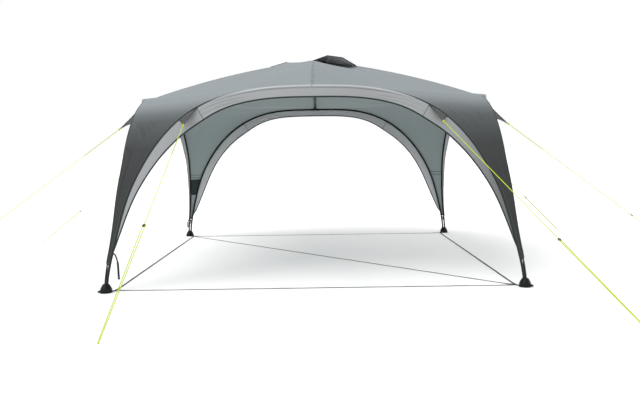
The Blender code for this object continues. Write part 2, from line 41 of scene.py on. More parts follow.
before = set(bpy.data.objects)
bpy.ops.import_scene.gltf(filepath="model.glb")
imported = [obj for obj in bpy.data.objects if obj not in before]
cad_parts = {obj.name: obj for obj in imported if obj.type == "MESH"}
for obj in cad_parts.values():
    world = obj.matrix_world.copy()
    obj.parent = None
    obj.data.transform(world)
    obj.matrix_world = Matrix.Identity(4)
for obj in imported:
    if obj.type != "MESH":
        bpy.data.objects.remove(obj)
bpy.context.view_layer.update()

# Names of the four sides and corners, counter-clockwise from the front
SIDES = ("front", "right", "rear", "left")
CORNERS = ("front_right", "rear_right", "rear_left", "front_left")
UP = Vector((0.0, 0.0, 1.0))
FRONT = Vector((0.0, -1.0, 0.0))

# Directions that lean out of the front right corner, one with a lift and one level
CORNER_RISE = Vector((1.0, -1.0, 1.0))
CORNER_OUT = Vector((1.0, -1.0, 0.0)).normalized()

# Pole frame
FOOT_SPACING = 3.5
HALF_SPAN = FOOT_SPACING / 2
ARCH_RISE = 1.7066
ARCH_SPAN_POWER = 2.96
ARCH_RISE_POWER = 1.705
ARCH_BOW = 0.094
ARCH_LEAN = 0.051
BOW_END = 0.5
LEAN_START = 0.85
LEG_BEND = 0.014
LEG_BEND_HEIGHT = 0.92
POLE_PAIR_SPLIT = 0.021
HUB_HEIGHT = 2.112
RIDGE_CURVE = 0.065
APEX_EASE = 0.05

# The top of the front arch has settled a little lower than the other three
FRONT_SETTLE = 0.034
SETTLE_HALF_WIDTH = 1.08
SETTLE_POWER = 1.3
SETTLE_REACH = (0.9, 1.8)
SETTLE_HEIGHTS = (1.2, 1.55)

# Poles, hubs and feet
POLE_RADIUS = 0.0095
HUB_RADIUS = 0.012
HUB_ARM = 0.06
RIDGE_ARM = 0.07
CENTRE_ARM = 0.09
HUB_MARGIN = 0.01
HUB_EASE = 0.05
SOCKET_REACH = 0.09
SOCKET_EASE = 0.03
SOCKET_RADIUS = 0.0112
SOCKET_RING_RADIUS = 0.0124
SOCKET_RING_INSET = 0.006
APEX_RING_LENGTH = 0.010
CENTRE_RING_LENGTH = 0.011
ARM_SLACK = 0.0006
HUB_SLACK = 0.0002
HUB_RING_WALL = 0.0006
HUB_RING_LENGTH = 0.012
CENTRE_PROFILE = ((0.012, -0.0262), (0.013, -0.0235), (0.03, -0.0235), (0.043, -0.0205),
                  (0.045, -0.017), (0.045, -0.0035), (0.043, -0.0008), (0.02, 0.0002))
FOOT_HEIGHT = 0.074
POLE_START = FOOT_HEIGHT + 0.0005
COLLAR_HEIGHTS = (1.20, 1.52)
COLLAR_LENGTH = 0.038
COLLAR_WALL = 0.0016
ARCH_STEPS = 160
RIDGE_STEPS = 60
RIDGE_COLLAR = 0.85
EYE_INSET = 0.060
EYE_RADIUS = 0.013

# Foot: the bell's outline, the collars round the poles, the ribs, the peg lug and the strap eye
BELL_PROFILE = ((0.044, 0.0), (0.047, 0.0), (0.0515, 0.0025), (0.052, 0.0065), (0.0512, 0.011),
                (0.049, 0.012), (0.0488, 0.015), (0.0508, 0.016), (0.05, 0.0215), (0.0462, 0.0345),
                (0.0418, 0.045), (0.0364, 0.0545), (0.0312, 0.062), (0.0288, 0.0662), (0.0272, 0.07),
                (0.0262, 0.0715))
FOOT_COLLAR_RADIUS = 0.0132
FOOT_COLLAR_LENGTH = 0.012
FOOT_COLLAR_HEIGHT = 0.0680
RIB_COUNT = 8
RIB_SIZE = (0.0040, 0.0035, 0.040)
RIB_ROUNDING = 0.0010
RIB_ENDS = ((0.0480, 0.0180), (0.0318, 0.0560))
LUG_SIZE = (0.044, 0.028, 0.0095)
LUG_SLOPE = math.radians(18)
LUG_END_ROUNDING = 0.0125
LUG_ROUNDING = 0.0012
LUG_REACH = 0.052
LUG_HEIGHT = 0.020
PEG_HOLE_RADIUS = 0.0058
PEG_HOLE_DEPTH = 0.03
PEG_HOLE_PLACE = (0.0085, 0, 0)
EYE_RING = (0.0098, 0.0031)
EYE_HEIGHT = 0.0045
NECK_SIZE = (0.036, 0.012, 0.006)
NECK_ROUNDING = 0.0015
NECK_START = 0.042
NECK_END = 0.009

# Canopy
CLOTH = 0.0011
CLOTH_SEAT = 0.0022
HEM_HEIGHT = 0.235
CORNER_SAG = 0.012
SAG_PEAK = 0.75 ** 3 * 0.25
ROOF_SAG = 0.018
SAG_RAMP = 0.5
SLOPE_STEP = 0.01
PANEL_BLEND = 0.1
ROOF_END = 0.012
VENT_TURNS = (0, 2)
VENT_REACH = 0.45
VENT_HEIGHT = 0.065
VENT_SHOULDERS = (0.31, 0.34)
HOOD_SEAT = 0.0013
HOOD_BOW = 1.6
SILL_SAG = 0.046
SILL_SKEW = 1.6
SILL_REACH = 0.22
HOOD_START = 0.012
HOOD_SETBACK = 0.002
RIM_RADIUS = 0.0040
NET_START = 0.04
NET_THICKNESS = 0.0006
PROP_PLACE = 0.985
PROP_RADIUS = 0.0042
PROP_FOOT_RADIUS = 0.0085
PROP_FOOT_HEIGHT = 0.004
ROOF_SEAM_X = 0.67
RIDGE_SEAM_WIDTH = 0.007
RIDGE_SEAM_ENDS = (0.012, 0.03)
SEAM_WIDTH = 0.006
SEAM_THICKNESS = 0.0012
WELD = 0.0004
FOOT_SEAM_HEIGHTS = (0.805, 0.840)
# Painted shade: the canopy's fade starts higher towards +X by this share of the distance, so the right
# corners read darker, as if turned from the light
PAINTED_SHADE_TILT = 0.023
HEM_BAND = 0.022
HEM_THICKNESS = 0.0034

# Visors
VISOR_WIDTH = 0.124
VISOR_START = 0.27
VISOR_FULL = 1.53
VISOR_POWER = 0.8
VISOR_NARROWING = 0.036
NARROWING_START = 1.45
VISOR_TIP = 0.006
VISOR_FLARE = 0.10
VISOR_BELLY = 0.02
VISOR_WAVE = 0.0014
VISOR_WAVE_RATE = 9
VISOR_WAVE_START = 1.0
BINDING_LAP = 0.40
BINDING_THICKNESS = 0.0032
REAR_SLACK = 0.038
SLACK_HEIGHT = 0.70
SLACK_REACH = 0.42
SLACK_EASE = 0.08
VISOR_SEAM_X = 0.962
VISOR_SEAM_WIDTH = 0.007
VISOR_SEAM_THICKNESS = 0.0026
BAND_END_X = 0.55
BAND_FADE = 0.55
BAND_HANG_X = 1.05
BAND_HANG = 0.012
BAND_LAP = 0.006
BAND_PROUD = 0.0012
BAND_THICKNESS = 0.0010
BAND_STEPS = 130
BAND_WRAP = 6
BAND_LEAST_REACH = 0.10
BAND_LEAST_LAP = 0.2
BAND_FULL = 0.9
BAND_MOST_HANG = 0.9
CROWN_END_X = 0.85
CROWN_FADE = 0.35
CROWN_STEPS = 60
CROWN_WRAP = 8
CROWN_POINT = 5
CROWN_SEAM_SHARE = 0.12

# Least width, growth towards the middle and thickness of the roll and of the seam below it, which is drawn
# darker as painted shadow
CROWN_ROLL = (0.004, 0.011, 0.0016)
CROWN_SEAM = (0.0015, 0.0065, 0.0014)

# Heights between which a visor takes the roof's colour, and places along the front one where it darkens
CAP_HEIGHTS = (1.703, 1.712)
SHADE_REACH = (0.95, 1.72)

# Guy tabs and lines
TAB_SPAN = (0.959, 1.114)
TAB_TIP = Vector((1.053, -1.785, 1.391))
TAB_TIP_WIDTH = 0.016
TAB_SEAT = 0.0010
TAB_WAIST = 0.18
TAB_DISH = 0.009
TAB_PLEAT = 0.0016
TAB_THICKNESS = 0.0016
TAB_ROWS = 18
TAB_COLUMNS = 10
TAB_EDGE_WIDTH = 0.008
TAB_EDGE_THICKNESS = 0.0030
TOGGLE_RADIUS = 0.0045
TOGGLE_LENGTH = 0.020
TOGGLE_SETBACK = 0.001
GUY_GROUND = 0.0026
GUY_CLEARANCE = 0.0002
GUY_LOOP = 0.012
LOOP_STEPS = 24
LOOP_SHARE = 0.55
LOOP_HALF_WIDTH = 0.0052
LOOP_TIGHTNESS = 0.9
STRANDS_AT_RUNNER = 0.018
STRANDS_AT_GROUND = 0.008
STRAND_LEAD = 0.026
STRAND_START = 0.002
STRAND_PINCH = 0.8
PEG_BEND = 0.006
PEG_BEND_STEPS = 10
SINGLE_STEPS = 40
KNOT_TURNS = 3
KNOT_STEPS = 48
KNOT_REACH = 1.7
KNOT_TIGHTNESS = 0.95
KNOT_START = 0.004
KNOT_LENGTH = 0.013
RUNNER_RADIUS = 0.0125
RUNNER_THICKNESS = 0.010
RUNNER_OFFSET = 0.008
RUNNER_RIM = 0.0030
RUNNER_DISH = 0.0022
RUNNER_ROUNDING = 0.0012

# Quarter turns, side, peg place on the ground, and how far down the line its runner sits
GUY_LINES = {
    "front_left": (0, -1, (-1.325, -3.190), 0.53),
    "front_right": (0, 1, (2.071, -3.194), 0.62),
    "right_front": (1, -1, (3.430, -1.695), 0.60),
    "right_rear": (1, 1, (3.353, 1.824), 0.65),
    "left_rear": (3, -1, (-3.572, 1.267), 0.70),
    "left_front": (3, 1, (-3.490, -1.720), 0.60),
}

# Base straps
STRAP_WIDTH = 0.020
STRAP_THICKNESS = 0.0016
STRAP_END_HEIGHT = 0.0037
STRAP_END_WIDTH = 0.008
STRAP_TAPER = 0.02
STRAP_LANDING = 0.15
STRAP_STEPS = 90
STRAP_CROWDING = 0.6
STRAP_RIPPLE = 0.0006
RIPPLE_RATE = 17
RIPPLE_START = 0.4

# Pocket and loose webbing ends
POCKET_LOW = 0.58
POCKET_HIGH = 0.775
POCKET_ROWS = 16
POCKET_COLUMNS = 12
POCKET_GAP = 0.0008
POCKET_BELLY = 0.0045
POCKET_TOP_EASE = 1.05
POCKET_FULLNESS = 0.7
POCKET_SEAT = 0.004
POCKET_THICKNESS = 0.0022
POCKET_TAPE = (0.012, 0.0036)
LEG_WEBBING_HEIGHT = 0.200
LEG_WEBBING = (0.052, 0.0020)
LEG_WEBBING_LAP = 0.6
LEG_WEBBING_STEPS = 6
FRONT_TIE_HEIGHT = 0.32
REAR_TIE_HEIGHT = 0.226
TIE_CORD_SHARE = 0.55
TIE_CORD_RADIUS = 0.0058
TIE_END_WIDTH = 0.0175
TIE_END_NARROWING = 0.006
TIE_END_EASE = 0.15
TIE_END_THICKNESS = 0.0085

# How far out from the pole and how far down each webbing end hangs, point by point
FRONT_TIE = ((0.001, 0.0), (0.008, 0.0), (0.020, 0.022), (0.033, 0.077), (0.036, 0.150),
             (0.038, 0.215))
REAR_TIE = ((0.001, 0.0), (0.006, 0.0), (0.014, 0.020), (0.017, 0.050), (0.018, 0.100))

# Grids of the cloth
ROOF_ROWS = 26
CORNER_ROWS = 144
ACROSS = 66
COLUMN_EASE = -0.03
WRAP_STEPS = 7
HANG_STEPS = 20
VISOR_ROWS = 170
HOOD_ROWS = 22
NET_ROWS = 20
SEAM_STEPS = 50

# Folds pressed into the corners: share across, height, half length, slant, half width, lift.
# The front left corner is the most creased one, and the others repeat a few soft folds.
LEFT_FOLDS = (
    (0.070, 1.640, 0.030, -1.7, 0.040, 0.0090),
    (0.185, 1.383, 0.036, -1.8, 0.036, 0.0150),
    (0.345, 1.349, 0.052, -2.4, 0.044, 0.0230),
    (0.385, 1.365, 0.050, -2.6, 0.044, -0.0120),
    (0.413, 1.378, 0.050, -2.9, 0.050, 0.0240),
    (0.438, 1.389, 0.040, -3.1, 0.044, -0.0120),
    (0.465, 1.404, 0.036, -3.2, 0.050, 0.0220),
    (0.540, 1.437, 0.026, -2.9, 0.046, 0.0160),
    (0.676, 1.432, 0.020, -3.5, 0.046, 0.0100),
    (0.110, 1.185, 0.045, -2.7, 0.032, 0.0150),
    (0.340, 1.060, 0.120, 0.10, 0.018, -0.0060),
    (0.220, 0.880, 0.100, 0.05, 0.016, 0.0060),
    (0.700, 1.200, 0.090, 0.10, 0.022, 0.0040),
)
SOFT_FOLDS = (
    (0.22, 1.48, 0.060, -0.50, 0.018, 0.0045),
    (0.36, 1.42, 0.080, -0.40, 0.020, -0.0040),
    (0.52, 1.38, 0.090, 0.10, 0.022, 0.0040),
    (0.70, 1.44, 0.070, 0.40, 0.018, 0.0050),
    (0.84, 1.46, 0.060, 0.55, 0.016, -0.0035),
    (0.48, 1.02, 0.120, 0.08, 0.024, 0.0040),
)

# Level creases of the front right corner: height, share across, half reach, fall, half width, lift
LEVEL_FOLDS = (
    (1.555, 0.45, 0.20, -0.06, 0.012, 0.0040),
    (1.500, 0.50, 0.24, -0.05, 0.012, -0.0035),
    (1.440, 0.48, 0.22, -0.04, 0.013, 0.0035),
)

# Tension wrinkles beside each guy tab: share down the visor at the tab and at the far end, lift
TENSION_WRINKLES = ((0.16, 0.42, 0.0040), (0.34, 0.56, -0.0032), (0.48, 0.68, 0.0042),
                    (0.66, 0.82, -0.0030), (0.84, 0.94, 0.0034))
WRINKLE_SPAN = (0.52, 0.97)
WRINKLE_RUN = (-0.15, 1.2)
WRINKLE_FADES = (0.3, 0.6)
WRINKLE_WIDTH = 0.055

# Small creases that fan out round each apex hub: how many, lift, distance from the hub and reach
HUB_CREASES = (26, 0.0030, 0.09, 0.05)

# Folds fade out near a corner's edges, and begin a few rows above the corner
FOLD_EDGE = 0.05
FOLD_ROWS = 4


def ease(value):
    """Ease from 0 to 1 with level ends."""
    value = min(1.0, max(0.0, value))
    return value * value * (3 - 2 * value)


def spread(start, end, steps):
    """Numbers at equal steps from one end to the other."""
    return [start + (end - start) * step / steps for step in range(steps + 1)]


def bell(distance, width):
    """A soft bump of height 1 around zero."""
    return math.exp(-(distance / width) ** 2)


def settle(point):
    """Where a point lies once the top of the front arch has settled."""
    across = max(0.0, 1 - (point.x / SETTLE_HALF_WIDTH) ** 2) ** SETTLE_POWER
    near, far = SETTLE_REACH
    low, high = SETTLE_HEIGHTS
    outward = ease((-point.y - near) / (far - near))
    share = across * outward * ease((point.z - low) / (high - low))
    return Vector((point.x, point.y, point.z - FRONT_SETTLE * share))


def quarter_turn(point, turns):
    """Rotate a point about the vertical axis by quarter turns."""
    return Matrix.Rotation(turns * math.pi / 2, 3, "Z") @ Vector(point)


def turned_rows(rows, turns):
    return [[quarter_turn(point, turns) for point in row] for row in rows]


def mirror_corner(vector):
    """Swap the front and right arches of the front right corner."""
    return Vector((-vector.y, -vector.x, vector.z))


def mirror_side(vector, sign=-1):
    """The same place on the left half of the front arch when the sign is negative."""
    return Vector((sign * vector.x, vector.y, vector.z))


def to_side(vector, turns, sign=1):
    """A place on the right half of the front side, carried to either half of another side."""
    return quarter_turn(mirror_side(vector, sign), turns)


def half_sides():
    """Quarter turns, mirror sign, side and neighbouring side of each of the eight half arches."""
    for turns, side in enumerate(SIDES):
        for sign in (1, -1):
            yield turns, sign, side, SIDES[(turns + sign) % 4]


def arch_curve(progress):
    """Centre of the right half of the front arch pole, from foot (0) to apex (1)."""
    angle = progress * math.pi / 2
    foot_half = HALF_SPAN - POLE_PAIR_SPLIT / 2
    height = ARCH_RISE * math.sin(angle) ** (2 / ARCH_RISE_POWER)
    along = foot_half * max(0.0, math.cos(angle)) ** (2 / ARCH_SPAN_POWER)
    bend = LEG_BEND * math.sin(math.pi * min(1.0, height / LEG_BEND_HEIGHT)) ** 2
    inward = ARCH_BOW * ease(progress / BOW_END)
    outward = (ARCH_BOW + ARCH_LEAN) * ease((progress - LEAN_START) / (1 - LEAN_START))
    plane = HALF_SPAN + POLE_PAIR_SPLIT / 2 - inward + outward
    return Vector((along - bend, bend - plane, height))


class Line:
    """A polyline that can be read at any distance along it."""

    def __init__(self, points):
        self.points = [Vector(point) for point in points]
        self.lengths = [0.0]
        for before, after in zip(self.points, self.points[1:]):
            self.lengths.append(self.lengths[-1] + (after - before).length)
        self.length = self.lengths[-1]

    def at(self, distance):
        distance = min(self.length, max(0.0, distance))
        low, high = 0, len(self.lengths) - 2
        while low < high:
            middle = (low + high + 1) // 2
            if self.lengths[middle] <= distance:
                low = middle
            else:
                high = middle - 1
        span = max(1e-9, self.lengths[low + 1] - self.lengths[low])
        return self.points[low].lerp(self.points[low + 1], (distance - self.lengths[low]) / span)

    def tangent(self, distance, step=0.012):
        before = self.at(max(0.0, distance - step))
        after = self.at(min(self.length, distance + step))
        return (after - before).normalized()

    def even(self, steps, end):
        """Points at equal steps from the start to a distance."""
        return [self.at(distance) for distance in spread(0.0, end, steps)]


ARCH_SAMPLES = 3000
ARCH = Line([point for point in map(arch_curve, spread(0, 1, ARCH_SAMPLES)) if point.z >= POLE_START])
APEX_REACH = -ARCH.points[-1].y
RIDGE_FALL = (HUB_HEIGHT - ARCH_RISE - RIDGE_CURVE * APEX_REACH ** 2) / APEX_REACH


def arch_distance(height=None, across=None):
    """Distance along the arch at which it first reaches a height, or comes in to a half width."""
    for length, point in zip(ARCH.lengths, ARCH.points):
        if height is not None and point.z >= height:
            return length
        if across is not None and point.x <= across and point.z > 1:
            return length
    return ARCH.length


HEM_DISTANCE = arch_distance(height=HEM_HEIGHT)
CLOTH_LENGTH = ARCH.length - HEM_DISTANCE


def arch_at(distance):
    """Pole centre and direction at a distance along the arch, level at the apex."""
    level = ease((distance - ARCH.length + APEX_EASE) / APEX_EASE)
    return ARCH.at(distance), ARCH.tangent(distance).lerp(Vector((-1, 0, 0)), level).normalized()


def cloth_radius(x):
    """Distance from the pole's centre to the cloth, larger over the apex hub."""
    over_hub = 1 - ease((abs(x) - HUB_ARM - HUB_MARGIN) / HUB_EASE)
    return POLE_RADIUS + CLOTH_SEAT + (HUB_RADIUS - POLE_RADIUS) * over_hub


def corner_normal(distance):
    """Direction in which the corner cloth leaves the front arch pole."""
    front, tangent = arch_at(distance)
    normal = tangent.cross(mirror_corner(front) - front).normalized()
    return normal if normal.dot(CORNER_RISE) > 0 else -normal


def ridge_point(reach):
    """Centre of the front ridge pole at a distance from the middle of the roof."""
    return Vector((0.0, -reach, HUB_HEIGHT - RIDGE_FALL * reach - RIDGE_CURVE * reach ** 2))


def roof_normal(reach):
    """Direction in which the roof cloth leaves the front ridge pole."""
    front = ridge_point(reach)
    slope = (ridge_point(reach + SLOPE_STEP) - ridge_point(reach)).normalized()
    normal = slope.cross(mirror_corner(front) - front).normalized()
    return normal if normal.z > 0 else -normal


# Shares across a panel, a little closer together in the middle, where the folds are
COLUMNS = [index / ACROSS - COLUMN_EASE * math.sin(math.tau * index / ACROSS)
           for index in range(ACROSS + 1)]


def corner_row(distance):
    """Points across the front right corner cloth at one distance up the arch."""
    front, _ = arch_at(distance)
    offset = cloth_radius(front.x)
    near_apex = ease((distance - ARCH.length + PANEL_BLEND) / PANEL_BLEND)
    normal = corner_normal(distance).lerp(roof_normal(APEX_REACH), near_apex / 2).normalized()
    start = front + normal * offset
    end = mirror_corner(start)
    rise = (distance - HEM_DISTANCE) / CLOTH_LENGTH
    middle_normal = (normal + mirror_corner(normal)).normalized()
    sag = CORNER_SAG * rise ** 3 * (1 - rise) / SAG_PEAK
    return [start.lerp(end, across) - middle_normal * sag * math.sin(math.pi * across) ** 2
            for across in COLUMNS]


def roof_row(reach, sill=0.0):
    """Points across the front right roof cloth, with the sag of a vent's sill where there is one."""
    front = ridge_point(reach)
    over_hub = max(ease((CENTRE_ARM - reach) / SOCKET_EASE),
                   ease((reach - APEX_REACH + SOCKET_REACH) / SOCKET_EASE))
    offset = POLE_RADIUS + CLOTH_SEAT + (HUB_RADIUS - POLE_RADIUS) * over_hub
    near_apex = ease((reach - APEX_REACH + PANEL_BLEND) / PANEL_BLEND)
    normal = roof_normal(max(reach, SLOPE_STEP))
    normal = normal.lerp(corner_normal(ARCH.length), near_apex / 2).normalized()
    middle_normal = (normal + mirror_corner(normal)).normalized()
    start = front + normal * offset
    end = mirror_corner(start)
    sag = ROOF_SAG * ease((reach - VENT_REACH) / SAG_RAMP)
    sag *= ease((APEX_REACH - reach) / SAG_RAMP)
    sill *= bell(reach - VENT_REACH, SILL_REACH)
    row = [start.lerp(end, across) - middle_normal
           * (sag * math.sin(math.pi * across) ** 2 + sill * math.sin(math.pi * across ** SILL_SKEW))
           for across in COLUMNS]
    row[0] = front + Vector((0, normal.y, normal.z)).normalized() * offset
    row[-1] = mirror_corner(row[0])
    return row


def visor_width(height, slack=0.0):
    """Width of the visor below its pole at one height, with the extra width of a slacker visor."""
    share = min(1.0, max(0.0, (height - VISOR_START) / (VISOR_FULL - VISOR_START)))
    narrowing = ease((height - NARROWING_START) / (ARCH_RISE - NARROWING_START))
    extra = slack * bell(height - SLACK_HEIGHT, SLACK_REACH) * ease(share / SLACK_EASE)
    return max(VISOR_TIP, VISOR_WIDTH * share ** VISOR_POWER - VISOR_NARROWING * narrowing + extra)


def visor_axes(distance):
    """Pole centre with the visor's outward and upward directions at a distance up the front arch."""
    centre, tangent = arch_at(distance)
    above = FRONT.cross(tangent).normalized()
    above = above if above.z + above.x > 0 else -above
    away = tangent.cross(above).normalized()
    return centre, (away if away.y < 0 else -away), above


def visor_wrap(distance, proud=0.0, steps=WRAP_STEPS, reach=1.0):
    """Points over the pole, from the canopy's edge towards the place where the visor hangs free."""
    centre, away, above = visor_axes(distance)
    radius = cloth_radius(centre.x) + proud
    normal = corner_normal(distance)
    lap = math.atan2(normal.dot(away), normal.dot(above))
    points = []
    for step in range(steps + 1):
        angle = lap + (math.pi / 2 - lap) * reach * step / steps
        points.append(centre + (above * math.cos(angle) + away * math.sin(angle)) * radius)
    return points


def visor_hang(distance, share, proud=0.0, slack=0.0):
    """A point on the hanging part of the visor, at a share of its width below the pole."""
    centre, away, above = visor_axes(distance)
    width = visor_width(centre.z, slack)
    flare = VISOR_FLARE * share + VISOR_BELLY * math.sin(math.pi * share)
    out = cloth_radius(centre.x) + proud + width * flare
    return centre + away * out - above * width * share


def tension_wrinkle(x, share):
    """Height of the wrinkles that run from the guy tab towards the middle of the arch."""
    near, far = WRINKLE_SPAN
    run = (far - x) / (far - near)
    first, last = WRINKLE_RUN
    if not first < run < last:
        return 0.0
    fade_in, fade_out = WRINKLE_FADES
    fade = ease((run - first) / fade_in) * ease((last - run) / fade_out)
    return sum(lift * bell(share - at_tab - (at_end - at_tab) * run, WRINKLE_WIDTH)
               for at_tab, at_end, lift in TENSION_WRINKLES) * fade


def visor_row(distance, slack=0.0):
    """Points across the visor, from the canopy's edge to its lower edge."""
    x = ARCH.at(distance).x
    row = visor_wrap(distance)
    for share in spread(0, 1, HANG_STEPS)[1:]:
        wave = VISOR_WAVE * math.sin(VISOR_WAVE_RATE * x + VISOR_WAVE_START) * share
        wave += tension_wrinkle(x, share)
        row.append(visor_hang(distance, share, 0.0, slack) + FRONT * wave)
    return row


# Mesh helpers

SHARP_ANGLE = math.radians(35)
FACING = 0.9
SLEEVE_ROUNDING = 0.0015
ROUNDING_SHARE = 0.12


def deselect_all():
    for scene_object in bpy.context.selected_objects:
        scene_object.select_set(False)


def make_active(piece):
    deselect_all()
    piece.select_set(True)
    bpy.context.view_layer.objects.active = piece


def apply_modifiers(piece):
    make_active(piece)
    for modifier in list(piece.modifiers):
        bpy.ops.object.modifier_apply(modifier=modifier.name)


def apply_place(piece):
    """Put the object's place, turn and scale into its mesh."""
    make_active(piece)
    bpy.ops.object.transform_apply(location=True, rotation=True, scale=True)


def move_mesh(piece, matrix):
    """Carry a finished piece's mesh to its place on the shelter."""
    piece.data.transform(matrix)


def place_axes(centre, axis_x, axis_z):
    """A matrix that puts local +Z along one direction and local +X as near as can be to another."""
    axis_z = axis_z.normalized()
    axis_y = axis_z.cross(axis_x).normalized()
    axis_x = axis_y.cross(axis_z)
    return Matrix.Translation(centre) @ Matrix((axis_x, axis_y, axis_z)).transposed().to_4x4()


def give_material(piece, *materials):
    piece.data.materials.clear()
    for material in materials:
        piece.data.materials.append(material)


def shade_smooth(piece, angle=SHARP_ANGLE):
    make_active(piece)
    bpy.ops.object.shade_smooth_by_angle(angle=angle)


def join(pieces):
    """Join several modelled shapes into one piece."""
    deselect_all()
    for piece in pieces:
        piece.select_set(True)
    bpy.context.view_layer.objects.active = pieces[0]
    bpy.ops.object.join()
    return pieces[0]


def copy_turned(piece, name, turns):
    """A copy with its own mesh, turned about the vertical axis."""
    mesh = piece.data.copy()
    mesh.transform(Matrix.Rotation(turns * math.pi / 2, 4, "Z"))
    copied = bpy.data.objects.new(name, mesh)
    bpy.context.scene.collection.objects.link(copied)
    return copied


def dress(piece, replaced=()):
    """Let a finished piece ride on the frame and hide the nodes that it stands for."""
    if not piece.data.polygons:
        raise RuntimeError(f"{piece.name} has come out with no faces")
    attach(piece, "root")
    if replaced:
        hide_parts(*replaced)
    return piece


def mesh_object(name, shape):
    """Turn a bmesh into a piece, with its points where the settled frame carries them."""
    for vert in shape.verts:
        vert.co = settle(vert.co)
    mesh = bpy.data.meshes.new(name)
    shape.to_mesh(mesh)
    shape.free()
    piece = bpy.data.objects.new(name, mesh)
    bpy.context.scene.collection.objects.link(piece)
    return piece


def running_lengths(points, closed=False):
    """Distance of each point from the middle of its row."""
    lengths = [0.0]
    for before, after in zip(points, points[1:]):
        lengths.append(lengths[-1] + (after - before).length)
    if closed:
        lengths.append(lengths[-1] + (points[0] - points[-1]).length)
    return [length - lengths[-1] / 2 for length in lengths]


def add_grid(shape, rows, closed=False):
    """Quads through rows of points, with a UV map in metres across and along."""
    uv_layer = shape.loops.layers.uv.verify()
    grid = [[shape.verts.new(point) for point in row] for row in rows]
    middle = len(rows[0]) // 2
    downs = running_lengths([row[middle] for row in rows])
    acrosses = [running_lengths(row, closed) for row in rows]
    count = len(rows[0])
    for index in range(len(rows) - 1):
        for column in range(count if closed else count - 1):
            following = (column + 1) % count
            face = shape.faces.new((grid[index][column], grid[index][following],
                                    grid[index + 1][following], grid[index + 1][column]))
            face.smooth = True
            places = ((acrosses[index][column], downs[index]),
                      (acrosses[index][column + 1], downs[index]),
                      (acrosses[index + 1][column + 1], downs[index + 1]),
                      (acrosses[index + 1][column], downs[index + 1]))
            for loop, place in zip(face.loops, places):
                loop[uv_layer].uv = place
    return grid


def face_towards(shape, outward):
    """Turn an open sheet's faces to look along one direction."""
    shape.normal_update()
    if sum((face.normal * face.calc_area() for face in shape.faces), Vector()).dot(outward) < 0:
        bmesh.ops.reverse_faces(shape, faces=shape.faces)


def sheet_piece(name, rows, outward, thickness, outer, inner=None):
    """A sheet of cloth with its thickness, and its own lining on the inner face."""
    shape = bmesh.new()
    add_grid(shape, rows)
    face_towards(shape, outward)
    piece = mesh_object(name, shape)
    give_material(piece, outer, inner or outer)
    thicken(piece, thickness)
    return piece


def thicken(piece, thickness):
    """Give an open sheet its thickness on the inner side, with the second material there."""
    modifier = piece.modifiers.new("Thickness", "SOLIDIFY")
    modifier.thickness = thickness
    modifier.offset = -1.0
    modifier.use_even_offset = True
    modifier.material_offset = 1
    apply_modifiers(piece)


def cord_piece(name, points, radius, material, sides=10):
    """A round cord along a route."""
    shape = bmesh.new()
    rows = []
    side = None
    for index, point in enumerate(points):
        tangent = (points[min(index + 1, len(points) - 1)] - points[max(index - 1, 0)]).normalized()
        side = tangent.orthogonal() if side is None else side
        side = (side - tangent * side.dot(tangent)).normalized()
        lift = tangent.cross(side)
        rows.append([point + (side * math.cos(turn) + lift * math.sin(turn)) * radius
                     for turn in spread(0, math.tau, sides)[:-1]])
    return closed_piece(name, shape, rows, material)


def closed_piece(name, shape, rows, material):
    """A closed tube through rows of points, with its two ends filled."""
    grid = add_grid(shape, rows, closed=True)
    shape.faces.new(list(reversed(grid[0])))
    shape.faces.new(grid[-1])
    bmesh.ops.recalc_face_normals(shape, faces=shape.faces)
    piece = mesh_object(name, shape)
    give_material(piece, material)
    return piece


# Section of a flat tape: shares of its width and of its thickness
TAPE_SECTION = ((-0.5, 0.0), (-0.44, 0.5), (-0.15, 0.5), (0.15, 0.5), (0.44, 0.5), (0.5, 0.0),
                (0.44, -0.5), (0.15, -0.5), (-0.15, -0.5), (-0.44, -0.5))


def tape_piece(name, stations, thickness, material):
    """A flat tape through stations of place, direction across, outward direction and width."""
    shape = bmesh.new()
    rows = []
    for centre, across, outward, width in stations:
        across = across.normalized()
        outward = (outward - across * outward.dot(across)).normalized()
        rows.append([centre + across * width * side + outward * thickness * level
                     for side, level in TAPE_SECTION])
    return closed_piece(name, shape, rows, material)


def turned_stations(stations, turns):
    """The stations of a tape, carried round by quarter turns."""
    return [(quarter_turn(place, turns), quarter_turn(across, turns), quarter_turn(outward, turns), width)
            for place, across, outward, width in stations]


def smooth_route(points, steps):
    """A smooth curve through a few given points."""
    line = []
    ends = [points[0] * 2 - points[1], *points, points[-1] * 2 - points[-2]]
    for index in range(1, len(ends) - 2):
        before, start, end, after = ends[index - 1:index + 3]
        for step in range(steps):
            t = step / steps
            line.append(0.5 * (start * 2 + (end - before) * t
                               + (before * 2 - start * 5 + end * 4 - after) * t ** 2
                               + (start * 3 - before - end * 3 + after) * t ** 3))
    line.append(points[-1])
    return line


# Modelling helpers that work as by hand

def start_cylinder(radius, depth, place=(0, 0, 0), sides=24):
    deselect_all()
    bpy.ops.mesh.primitive_cylinder_add(vertices=sides, radius=radius, depth=depth, location=place)
    return bpy.context.active_object


def start_block(size):
    """A block of a length, width and height, centred on the origin."""
    deselect_all()
    bpy.ops.mesh.primitive_cube_add(size=1)
    piece = bpy.context.active_object
    piece.scale = size
    apply_place(piece)
    return piece


def select_parts(piece, kind, wanted):
    """Go into edit mode with the wanted faces or edges selected."""
    make_active(piece)
    bpy.ops.object.mode_set(mode="EDIT")
    bpy.ops.mesh.select_mode(type=kind)
    bpy.ops.mesh.select_all(action="DESELECT")
    shape = bmesh.from_edit_mesh(piece.data)
    for part in (shape.faces if kind == "FACE" else shape.edges):
        part.select_set(wanted(part))
    bmesh.update_edit_mesh(piece.data)


def leave_edit():
    bpy.ops.object.mode_set(mode="OBJECT")


